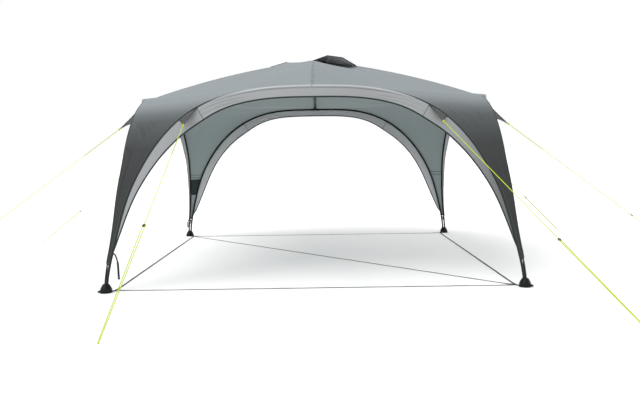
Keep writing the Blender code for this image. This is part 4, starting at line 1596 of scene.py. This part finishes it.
class SHELTER_OT_vents(bpy.types.Operator):
    """Raise the two vent hoods over their mesh"""

    bl_idname = "shelter.vents"
    bl_label = "Vents"

    def hood_lift(self, reach, across):
        """Height of the hood over the roof, from one ridge (0) to the next (1)."""
        first, second = VENT_SHOULDERS
        rise = VENT_HEIGHT * min(1.0, across / first, (1 - across) / second)
        return HOOD_SEAT + (reach / VENT_REACH) ** HOOD_BOW * rise

    def execute(self, context):
        settings = context.scene.shelter_cloth
        materials = (cloth_material("hood_cloth", settings.roof[:]),
                     # Painted light under the hood
                     cloth_material("lit_hood_lining", settings.lit_hood_lining[:]),
                     webbing_material("hood_binding", settings.binding[:], TAPE_PITCH),
                     plastic_material("prop_plastic", settings.net[:]))
        net = net_material("vent_mesh", settings.net[:])
        for turns in VENT_TURNS:
            corner = CORNERS[turns]
            self.net(corner, turns, net)
            self.hood(corner, turns, materials)
        return {"FINISHED"}

    def net(self, corner, turns, material):
        """The mesh that closes a vent's opening."""
        rows = turned_rows([roof_row(VENT_REACH * share, SILL_SAG)
                            for share in spread(NET_START, 1, NET_ROWS)], turns)
        net = sheet_piece("vent_net_" + corner, rows, UP, NET_THICKNESS, material)
        dress(net, ["vent_mesh_" + corner])

    def hood(self, corner, turns, materials):
        """The hood over a vent, with its rim and its prop."""
        outer, lining, tape, plastic = materials
        rows = []
        for step in range(HOOD_ROWS + 1):
            reach = HOOD_START + (VENT_REACH - HOOD_SETBACK) * step / HOOD_ROWS
            rows.append([quarter_turn(point + UP * self.hood_lift(reach, across), turns)
                         for across, point in zip(COLUMNS, roof_row(reach))])
        hood = sheet_piece("vent_cover_" + corner, rows, UP, CLOTH, outer, lining)
        dress(hood, ["vent_hood_" + corner])
        rim = dress(cord_piece("vent_rim_" + corner, rows[-1], RIM_RADIUS, tape))
        strut = self.strut(corner, turns, rows, plastic)

    def strut(self, corner, turns, rows, material):
        """The short prop that holds the hood open, near one end of its mouth."""
        column = min(range(len(COLUMNS)), key=lambda index: abs(COLUMNS[index] - VENT_SHOULDERS[0]))
        top = rows[-2][column]
        base = quarter_turn(roof_row(VENT_REACH * PROP_PLACE, SILL_SAG)[column], turns)
        strut = sleeve(PROP_RADIUS, (top - base).length, (top + base) / 2, top - base, 16)
        foot_centre = base + (top - base).normalized() * PROP_FOOT_HEIGHT / 2
        foot = sleeve(PROP_FOOT_RADIUS, PROP_FOOT_HEIGHT, foot_centre, top - base, 16)
        return finish_fitting(join([strut, foot]), "vent_prop_" + corner, material)


class SHELTER_OT_poles(bpy.types.Operator):
    """Bend the arch poles and ridge poles, and fit the collars where their sections join"""

    bl_idname = "shelter.poles"
    bl_label = "Poles"

    def execute(self, context):
        settings = context.scene.shelter_fittings
        coat = pole_material("pole_coat", settings.pole[:])
        arch = ARCH.even(ARCH_STEPS, ARCH.length - HUB_ARM)
        collars = [arch_distance(height=height) for height in COLLAR_HEIGHTS]
        for turns, sign, side, neighbour in half_sides():
            line = [settle(to_side(point, turns, sign)) for point in arch]
            self.pole(f"pole_{side}_{neighbour}", line, settings.pole_radius, collars, coat,
                      f"arch_pole_{side}_{neighbour}")
        reaches = spread(CENTRE_ARM, APEX_REACH - RIDGE_ARM, RIDGE_STEPS)
        for turns, side in enumerate(SIDES):
            line = [settle(quarter_turn(ridge_point(reach), turns)) for reach in reaches]
            self.pole("roof_pole_" + side, line, settings.pole_radius, [RIDGE_COLLAR], coat,
                      "ridge_pole_" + side)
        return {"FINISHED"}

    def pole(self, name, points, radius, collars, material, replaced):
        """One pole with a collar at each place where a thinner section slides into it."""
        line = Line(points)
        shapes = [bend_along(points, radius)]
        for distance in collars:
            shapes.append(sleeve(radius + COLLAR_WALL, COLLAR_LENGTH, line.at(distance),
                                 line.tangent(distance), 20))
        finish_fitting(join(shapes), name, material, [replaced])


class SHELTER_OT_hubs(bpy.types.Operator):
    """Mould the apex hubs and the centre hub"""

    bl_idname = "shelter.hubs"
    bl_label = "Hubs"

    def execute(self, context):
        plastic = plastic_material("hub_plastic", context.scene.shelter_fittings.plastic[:])
        for turns, side in enumerate(SIDES):
            self.apex_hub(side, turns, plastic)
        self.centre_hub(plastic)
        return {"FINISHED"}

    def apex_hub(self, side, turns, material):
        """A tee: a sleeve round the two arch poles, and a flared socket for the ridge pole."""
        apex = ARCH.points[-1]
        arm_end = ridge_point(APEX_REACH - RIDGE_ARM)
        along = (arm_end - apex).normalized()
        across = Vector((1, 0, 0))
        shapes = [sleeve(HUB_RADIUS - HUB_SLACK, 2 * HUB_ARM, apex, across)]
        for sign in (-1, 1):
            ring_centre = apex + across * sign * (HUB_ARM - HUB_RING_LENGTH / 2)
            shapes.append(sleeve(HUB_RADIUS + HUB_RING_WALL, HUB_RING_LENGTH, ring_centre, across))
        socket = start_cylinder(SOCKET_RADIUS, RIDGE_ARM)
        flare, waist, waist_place = 4.2, 0.52, (0, 0, RIDGE_ARM * 0.14)
        select_parts(socket, "FACE", lambda face: face.normal.z < -FACING)
        bpy.ops.transform.resize(value=(flare, 1.0, 1), center_override=(0, 0, -RIDGE_ARM / 2))
        bpy.ops.mesh.select_all(action="SELECT")
        bpy.ops.mesh.bisect(plane_co=waist_place, plane_no=(0, 0, 1))
        bpy.ops.transform.resize(value=(waist, 1.0, 1), center_override=waist_place)
        leave_edit()
        move_mesh(socket, place_axes((apex + arm_end) / 2, across, along))
        shapes.append(socket)
        shapes.append(sleeve(SOCKET_RING_RADIUS, APEX_RING_LENGTH, arm_end - along * SOCKET_RING_INSET,
                             along))
        hub = join(shapes)
        move_mesh(hub, Matrix.Rotation(turns * math.pi / 2, 4, "Z"))
        for vert in hub.data.vertices:
            vert.co = settle(vert.co)
        finish_fitting(hub, "apex_tee_" + side, material, ["apex_hub_" + side])

    def centre_hub(self, material):
        """A disc with a boss under it, and four sockets, each with a ring and a screw."""
        centre = Vector((0, 0, HUB_HEIGHT))
        disc = turned_piece(CENTRE_PROFILE)
        move_mesh(disc, Matrix.Translation(centre))
        shapes = [disc]
        inner = ridge_point(CENTRE_ARM)
        axis = (inner - centre).normalized()
        length = (inner - centre).length - ARM_SLACK
        screw_radius, screw_length, screw_place = 0.0030, 0.026, 0.062
        for turns in range(4):
            turned = quarter_turn(axis, turns)
            shapes.append(sleeve(SOCKET_RADIUS, length, centre + turned * length / 2, turned))
            shapes.append(sleeve(SOCKET_RING_RADIUS, CENTRE_RING_LENGTH,
                                 centre + turned * (length - SOCKET_RING_INSET), turned))
            shapes.append(sleeve(screw_radius, screw_length, centre + turned * screw_place, UP, 12))
        finish_fitting(join(shapes), "roof_hub", material, ["centre_hub"])


class SHELTER_OT_feet(bpy.types.Operator):
    """Mould the feet: a bell, two pole sockets, a peg lug and a strap eye"""

    bl_idname = "shelter.feet"
    bl_label = "Feet"

    def execute(self, context):
        plastic = plastic_material("foot_plastic", context.scene.shelter_fittings.plastic[:], 0.38)
        foot = self.foot()
        for turns, corner in enumerate(CORNERS):
            piece = copy_turned(foot, "shoe_" + corner, turns)
            give_material(piece, plastic)
            dress(piece, ["foot_" + corner])
        bpy.data.objects.remove(foot, do_unlink=True)
        return {"FINISHED"}

    def foot(self):
        """The foot of the front right corner, which the others copy."""
        centre = Vector((HALF_SPAN, -HALF_SPAN, 0.0))
        bell = turned_piece(BELL_PROFILE)
        move_mesh(bell, Matrix.Translation(centre))
        shapes = [bell]
        front_pole = ARCH.points[0]
        for pole in (front_pole, mirror_corner(front_pole)):
            collar_centre = Vector((pole.x, pole.y, FOOT_COLLAR_HEIGHT))
            shapes.append(sleeve(FOOT_COLLAR_RADIUS, FOOT_COLLAR_LENGTH, collar_centre, UP))
        shapes.append(self.lug(centre, CORNER_OUT))
        shapes += self.strap_eye(centre, CORNER_OUT)
        for index in range(RIB_COUNT):
            turn = math.tau * (index + 0.5) / RIB_COUNT
            shapes.append(self.rib(centre, Vector((math.cos(turn), math.sin(turn), 0))))
        foot = join(shapes)
        shade_smooth(foot, math.radians(32))
        return foot

    def rib(self, centre, side):
        """One of the low ribs that stiffen the bell."""
        rib = start_block(RIB_SIZE)
        bevel_edges(rib, RIB_ROUNDING)
        (low_reach, low_height), (high_reach, high_height) = RIB_ENDS
        low = centre + side * low_reach + UP * low_height
        high = centre + side * high_reach + UP * high_height
        move_mesh(rib, place_axes((low + high) / 2, side, high - low))
        return rib

    def lug(self, centre, outward):
        """The sloping peg lug, rounded at its end, with a hole for the peg."""
        across = Vector((1, 1, 0)).normalized()
        run = outward * math.cos(LUG_SLOPE) - UP * math.sin(LUG_SLOPE)
        lug = start_block(LUG_SIZE)
        select_parts(lug, "EDGE", lambda edge: edge.calc_length() < LUG_SIZE[1] / 2
                     and edge.verts[0].co.x > 0)
        bpy.ops.mesh.bevel(offset=LUG_END_ROUNDING, segments=8, affect="EDGES")
        leave_edit()
        drill = start_cylinder(PEG_HOLE_RADIUS, PEG_HOLE_DEPTH, PEG_HOLE_PLACE)
        cut = lug.modifiers.new("Peg hole", "BOOLEAN")
        cut.operation = "DIFFERENCE"
        cut.object = drill
        apply_modifiers(lug)
        bpy.data.objects.remove(drill, do_unlink=True)
        bevel_edges(lug, LUG_ROUNDING)
        lift = across.cross(run)
        lift = lift if lift.z > 0 else -lift
        move_mesh(lug, place_axes(centre + outward * LUG_REACH + UP * LUG_HEIGHT, run, lift))
        return lug

    def strap_eye(self, centre, outward):
        """A flat neck and a ring on the inner side of the foot, where the base straps are looped."""
        eye = centre - outward * EYE_INSET * math.sqrt(2)
        deselect_all()
        bpy.ops.mesh.primitive_torus_add(major_radius=EYE_RING[0], minor_radius=EYE_RING[1],
                                         major_segments=32, minor_segments=12, location=(0, 0, 0))
        ring = bpy.context.active_object
        move_mesh(ring, Matrix.Translation(eye + UP * EYE_HEIGHT))
        neck = start_block(NECK_SIZE)
        bevel_edges(neck, NECK_ROUNDING)
        start = centre - outward * NECK_START
        end = eye + outward * NECK_END
        move_mesh(neck, place_axes((start + end) / 2 + UP * EYE_HEIGHT, outward, UP))
        return [ring, neck]


class SHELTER_OT_guy_lines(bpy.types.Operator):
    """Run the six guy lines from the tabs to the ground, each with its runner"""

    bl_idname = "shelter.guy_lines"
    bl_label = "Guy lines"

    def execute(self, context):
        settings = context.scene.shelter_fittings
        cord = cord_material("guy_cord", settings.guy[:])
        dark = plastic_material("runner_plastic", settings.runner[:])
        for name, (turns, sign, peg, runner_share) in GUY_LINES.items():
            self.line(name, turns, sign, peg, runner_share, settings.guy_radius, cord, dark)
        return {"FINISHED"}

    def line(self, name, turns, sign, peg, runner_share, radius, cord, dark):
        """One guy line: single from the tab to its runner, and doubled from there to the ground."""
        tip = to_side(TAB_TIP, turns, sign)
        ground = Vector((*peg, max(GUY_GROUND, radius + GUY_CLEARANCE)))
        run = (ground - tip).normalized()
        across = run.cross(UP).normalized()
        lift = across.cross(run).normalized()
        start = tip + run * GUY_LOOP
        runner = tip.lerp(ground, runner_share)
        wide = across * STRANDS_AT_RUNNER / 2
        narrow = across * STRANDS_AT_GROUND / 2
        single = Line([start, runner + run * RUNNER_OFFSET])
        pieces = [cord_piece("guy_single", single.even(SINGLE_STEPS, single.length), radius, cord)]
        double = [runner + wide * STRAND_PINCH - run * STRAND_START, runner + wide + run * STRAND_LEAD]
        double += [ground + narrow * math.cos(turn) + run * PEG_BEND * (math.sin(turn) - 1)
                   for turn in spread(0, math.pi, PEG_BEND_STEPS)]
        double += [runner - wide + run * STRAND_LEAD, runner - wide * STRAND_PINCH - run * STRAND_START]
        pieces.append(cord_piece("guy_double", double, radius, cord))
        pieces.append(self.loop(tip, run, lift, radius, cord))
        pieces.append(self.knot(start + run * KNOT_START, run, lift, radius, cord))
        line = join(pieces)
        line.name = "guy_cord_" + name
        dress(line, ["guy_line_" + name])
        self.runner(name, runner + run * RUNNER_OFFSET, run, lift, dark)
        toggle = sleeve(TOGGLE_RADIUS, TOGGLE_LENGTH, tip - run * TOGGLE_SETBACK, run.cross(lift), 16)
        finish_fitting(toggle, "tab_toggle_" + name, dark)

    def loop(self, tip, run, lift, radius, material):
        """The loop of cord through the tab's end."""
        points = []
        for turn in spread(0, math.tau, LOOP_STEPS):
            points.append(tip + run * (GUY_LOOP * 0.5 - math.cos(turn) * GUY_LOOP * LOOP_SHARE)
                          + lift * math.sin(turn) * LOOP_HALF_WIDTH)
        return cord_piece("guy_loop", points, radius * LOOP_TIGHTNESS, material, 8)

    def knot(self, place, run, lift, radius, material):
        """Three tight turns of cord round the line."""
        across = run.cross(lift)
        points = []
        for step in range(KNOT_STEPS + 1):
            turn = math.tau * KNOT_TURNS * step / KNOT_STEPS
            points.append(place + run * KNOT_LENGTH * step / KNOT_STEPS
                          + (lift * math.cos(turn) + across * math.sin(turn)) * radius * KNOT_REACH)
        return cord_piece("guy_knot", points, radius * KNOT_TIGHTNESS, material, 8)

    def runner(self, name, place, run, lift, material):
        """A round runner: a disc dished on both faces inside a raised rim."""
        disc = start_cylinder(RUNNER_RADIUS, RUNNER_THICKNESS, sides=32)
        for direction in (1, -1):
            select_parts(disc, "FACE", lambda face: face.normal.z * direction > FACING)
            bpy.ops.mesh.inset(thickness=RUNNER_RIM)
            bpy.ops.transform.translate(value=(0, 0, -direction * RUNNER_DISH))
            leave_edit()
        bevel_edges(disc, RUNNER_ROUNDING)
        move_mesh(disc, place_axes(place, run, lift))
        finish_fitting(disc, "guy_runner_" + name, material)


class SHELTER_OT_base_straps(bpy.types.Operator):
    """Lay the base straps on the ground between the feet"""

    bl_idname = "shelter.base_straps"
    bl_label = "Base straps"

    def execute(self, context):
        webbing = webbing_material("strap_webbing", context.scene.shelter_fittings.webbing[:])
        place = HALF_SPAN - EYE_INSET
        along_side = self.stations(place - EYE_RADIUS, Vector((1, 0, 0)), Vector((0, 1, 0)),
                                   Vector((0, -place, 0)))
        for turns, side in enumerate(SIDES):
            self.strap("ground_strap_" + side, along_side, turns, webbing, "base_strap_" + side)
        diagonal = self.stations(math.sqrt(2) * place - EYE_RADIUS, CORNER_OUT,
                                 Vector((1, 1, 0)).normalized(), Vector())
        self.strap("ground_strap_diagonal", diagonal, 0, webbing, "base_strap_diagonal")
        return {"FINISHED"}

    def stations(self, half_length, along, across, middle):
        """Places along a strap: flat on the ground, lifted and folded narrow at the strap eyes."""
        places = []
        for step in range(-STRAP_STEPS, STRAP_STEPS + 1):
            reach = half_length * math.copysign(abs(step / STRAP_STEPS) ** STRAP_CROWDING, step)
            from_end = half_length - abs(reach)
            height = STRAP_END_HEIGHT * ease(1 - from_end / STRAP_LANDING)
            width = STRAP_END_WIDTH + (STRAP_WIDTH - STRAP_END_WIDTH) * min(1.0, from_end / STRAP_TAPER)
            ripple = STRAP_RIPPLE * (1 + math.sin(RIPPLE_RATE * reach))
            ripple *= ease(from_end / RIPPLE_START)
            places.append((middle + along * reach + UP * (height + STRAP_THICKNESS / 2 + ripple),
                           across, UP, width))
        return places

    def strap(self, name, stations, turns, material, replaced):
        tape = tape_piece(name, turned_stations(stations, turns), STRAP_THICKNESS, material)
        dress(tape, [replaced])


class SHELTER_OT_leg_fittings(bpy.types.Operator):
    """Fit the pocket, the webbing across each leg and the loose webbing ends"""

    bl_idname = "shelter.leg_fittings"
    bl_label = "Leg fittings"

    def execute(self, context):
        settings = context.scene.shelter_fittings
        webbing = webbing_material("leg_webbing", settings.webbing[:])
        pale = webbing_material("pale_webbing", settings.pale_webbing[:])
        pocket_cloth = cloth_material("pocket_cloth", settings.webbing[:])
        self.pocket(pocket_cloth, webbing)
        for turns, corner in enumerate(CORNERS):
            self.bridge(corner, turns, pale)
        self.tie("front_left", 0, -1, ARCH.at(arch_distance(height=FRONT_TIE_HEIGHT)), Vector((-1, 0, 0)),
                 FRONT_TIE, webbing)
        self.tie("rear_left", 2, 1, mirror_corner(ARCH.at(arch_distance(height=REAR_TIE_HEIGHT))),
                 Vector((1, 0, 0)), REAR_TIE, webbing)
        return {"FINISHED"}

    def between_poles(self, height, margin):
        """The two ends of a level line between a leg's poles, and its direction outward."""
        front = ARCH.at(arch_distance(height=height))
        right = mirror_corner(front)
        across = (right - front).normalized()
        outward = across.cross(UP).normalized()
        outward = outward if outward.x > 0 else -outward
        return front + across * margin, right - across * margin, outward

    def pocket(self, cloth, tape):
        """A small pocket sewn between the poles, bellied a little towards the inside."""
        inward = quarter_turn(Vector((-1, 1, 0)), 2)
        rows = []
        for share in spread(0, 1, POCKET_ROWS):
            height = POCKET_LOW + (POCKET_HIGH - POCKET_LOW) * share
            near, far, outward = self.between_poles(height, POLE_RADIUS + POCKET_GAP)
            belly = POCKET_BELLY * math.sin(math.pi * min(1.0, share * POCKET_TOP_EASE)) ** POCKET_FULLNESS
            row = []
            for across in spread(0, 1, POCKET_COLUMNS):
                depth = belly * math.sin(math.pi * across) - POCKET_SEAT
                row.append(quarter_turn(near.lerp(far, across) - outward * depth, 2))
            rows.append(row)
        pocket = sheet_piece("leg_pocket", rows, inward, POCKET_THICKNESS, cloth)
        dress(pocket, ["corner_pocket"])
        width, thickness = POCKET_TAPE
        for name, row in (("top", rows[-1]), ("base", rows[0])):
            stations = [(point, UP, inward, width) for point in row]
            dress(tape_piece("pocket_tape_" + name, stations, thickness, tape))

    def bridge(self, corner, turns, material):
        """A short pale strap between the two poles, just below the canopy's hem."""
        near, far, outward = self.between_poles(LEG_WEBBING_HEIGHT, POLE_RADIUS * LEG_WEBBING_LAP)
        width, thickness = LEG_WEBBING
        stations = [(near.lerp(far, share), UP, outward, width)
                    for share in spread(0, 1, LEG_WEBBING_STEPS)]
        strap = tape_piece("leg_webbing_" + corner, turned_stations(stations, turns), thickness, material)
        dress(strap)

    def tie(self, corner, turns, sign, pole, direction, profile, material):
        """A loose webbing end: a thin cord at first, then a wider folded end."""
        route = []
        for out, down in profile:
            point = pole + direction * (POLE_RADIUS + out) - UP * down
            route.append(to_side(point, turns, sign))
        line = smooth_route(route, 8)
        cord_end = int(len(line) * TIE_CORD_SHARE)
        cord = cord_piece("tie_cord", line[:cord_end + 2], TIE_CORD_RADIUS, material)
        facing = to_side(FRONT, turns, sign)
        stations = []
        for index in range(cord_end, len(line)):
            share = (index - cord_end) / (len(line) - 1 - cord_end)
            width = TIE_END_WIDTH - TIE_END_NARROWING * (1 - ease(share / TIE_END_EASE))
            stations.append((line[index], facing.cross(UP), facing, width))
        end = tape_piece("tie_end", stations, TIE_END_THICKNESS, material)
        tie = join([cord, end])
        tie.name = "tie_" + corner
        dress(tie, ["leg_tie_" + corner])


# Camera of the reference view, worked out from the places of the shelter's feet
CAMERA_PLACE = (0.0438, -7.0339, 1.1688)
CAMERA_YAW = math.radians(0.0295)
CAMERA_PITCH = math.radians(-4.534)
CAMERA_ROLL = math.radians(-0.821)
CAMERA_LENS = 36.082
CAMERA_SENSOR = 36.0

# Floor, key light, and the directions between which each part of the surround eases in
FLOOR_SIZE = 400
FLOOR_DROP = 0.0004
KEY_SOFTNESS = math.radians(42)
KEY_AIM = Vector((0.75, 0.70, -1.45))
RING_RISE = (0.26, 0.40)
ZENITH_RISE = (0.66, 0.90)
SIDES_RISE = (0.20, 0.40)
BEHIND = (0.50, 0.78)


class SHELTER_OT_stage(bpy.types.Operator):
    """Lay the floor, set the lights and place the camera"""

    bl_idname = "shelter.stage"
    bl_label = "Stage"

    def execute(self, context):
        settings = context.scene.shelter_stage
        deselect_all()
        bpy.ops.mesh.primitive_plane_add(size=FLOOR_SIZE, location=(0, 0, -FLOOR_DROP))
        floor = context.active_object
        floor.name = "floor"
        give_material(floor, floor_material(settings.floor[:]))
        self.surround(context, settings)
        light = bpy.data.lights.new("soft_key", "SUN")
        light.energy = settings.key
        light.angle = KEY_SOFTNESS
        lamp = bpy.data.objects.new("soft_key", light)
        lamp.rotation_euler = KEY_AIM.to_track_quat("-Z", "Y").to_euler()
        context.scene.collection.objects.link(lamp)
        self.camera(context)
        context.scene.view_settings.view_transform = "Standard"
        context.scene.view_settings.look = "None"
        return {"FINISHED"}

    def surround(self, context, settings):
        """A white surround: calm behind the shelter, brighter low round the sides and in a ring above."""
        world = bpy.data.worlds.new("soft_surround")
        world.use_nodes = True
        nodes = Nodes.over(world, "Background")
        parts = nodes.split("Generated")
        ring = nodes.between(parts["Z"], RING_RISE, (0.0, settings.ring - 1.0))
        overhead = nodes.between(parts["Z"], ZENITH_RISE, (0.0, settings.zenith - settings.ring))
        behind = nodes.between(parts["Y"], BEHIND, (settings.sides - 1.0, 0.0))
        low = nodes.between(parts["Z"], SIDES_RISE, (1.0, 0.0))
        extra = nodes.math("ADD", nodes.math("ADD", ring, overhead), nodes.math("MULTIPLY", behind, low))
        nodes.fill(nodes.shader.inputs["Color"], (1.0, 1.0, 1.0))
        nodes.link(nodes.math("ADD", extra, 1.0), nodes.shader.inputs["Strength"])
        context.scene.world = world

    def camera(self, context):
        forward = Vector((math.sin(CAMERA_YAW) * math.cos(CAMERA_PITCH),
                          math.cos(CAMERA_YAW) * math.cos(CAMERA_PITCH), math.sin(CAMERA_PITCH)))
        level = Vector((math.cos(CAMERA_YAW), -math.sin(CAMERA_YAW), 0.0))
        up = level.cross(forward)
        right = level * math.cos(CAMERA_ROLL) + up * math.sin(CAMERA_ROLL)
        above = up * math.cos(CAMERA_ROLL) - level * math.sin(CAMERA_ROLL)
        data = bpy.data.cameras.new("reference_camera")
        data.lens = CAMERA_LENS
        data.sensor_width = CAMERA_SENSOR
        data.sensor_fit = "HORIZONTAL"
        camera = bpy.data.objects.new("reference_camera", data)
        turn = Matrix((right, above, -forward)).transposed()
        camera.matrix_world = Matrix.Translation(CAMERA_PLACE) @ turn.to_4x4()
        context.scene.collection.objects.link(camera)
        context.scene.camera = camera


OPERATORS = (SHELTER_OT_canopy, SHELTER_OT_visors, SHELTER_OT_guy_tabs, SHELTER_OT_vents,
             SHELTER_OT_poles, SHELTER_OT_hubs, SHELTER_OT_feet, SHELTER_OT_guy_lines,
             SHELTER_OT_base_straps, SHELTER_OT_leg_fittings, SHELTER_OT_stage)


SETTINGS = {"shelter_cloth": ShelterClothSettings, "shelter_fittings": ShelterFittingSettings,
            "shelter_stage": ShelterStageSettings}


class SHELTER_PT_builder(bpy.types.Panel):
    """Buttons and settings of the shelter"""

    bl_label = "Camping Shelter"
    bl_idname = "SHELTER_PT_builder"
    bl_space_type = "VIEW_3D"
    bl_region_type = "UI"
    bl_category = "Shelter"

    def draw(self, context):
        for name in SETTINGS:
            settings = getattr(context.scene, name)
            box = self.layout.box()
            for key in settings.__annotations__:
                box.prop(settings, key)
        for operator in OPERATORS:
            self.layout.operator(operator.bl_idname)


CLASSES = (*SETTINGS.values(), *OPERATORS, SHELTER_PT_builder)


def register():
    for item in CLASSES:
        bpy.utils.register_class(item)
    for name, kind in SETTINGS.items():
        setattr(bpy.types.Scene, name, PointerProperty(type=kind))


def unregister():
    for name in SETTINGS:
        delattr(bpy.types.Scene, name)
    for item in reversed(CLASSES):
        bpy.utils.unregister_class(item)


def main():
    register()
    bpy.ops.shelter.canopy()
    bpy.ops.shelter.visors()
    bpy.ops.shelter.guy_tabs()
    bpy.ops.shelter.vents()
    bpy.ops.shelter.poles()
    bpy.ops.shelter.hubs()
    bpy.ops.shelter.feet()
    bpy.ops.shelter.guy_lines()
    bpy.ops.shelter.base_straps()
    bpy.ops.shelter.leg_fittings()
    bpy.ops.shelter.stage()


if __name__ == "__main__":
    main()
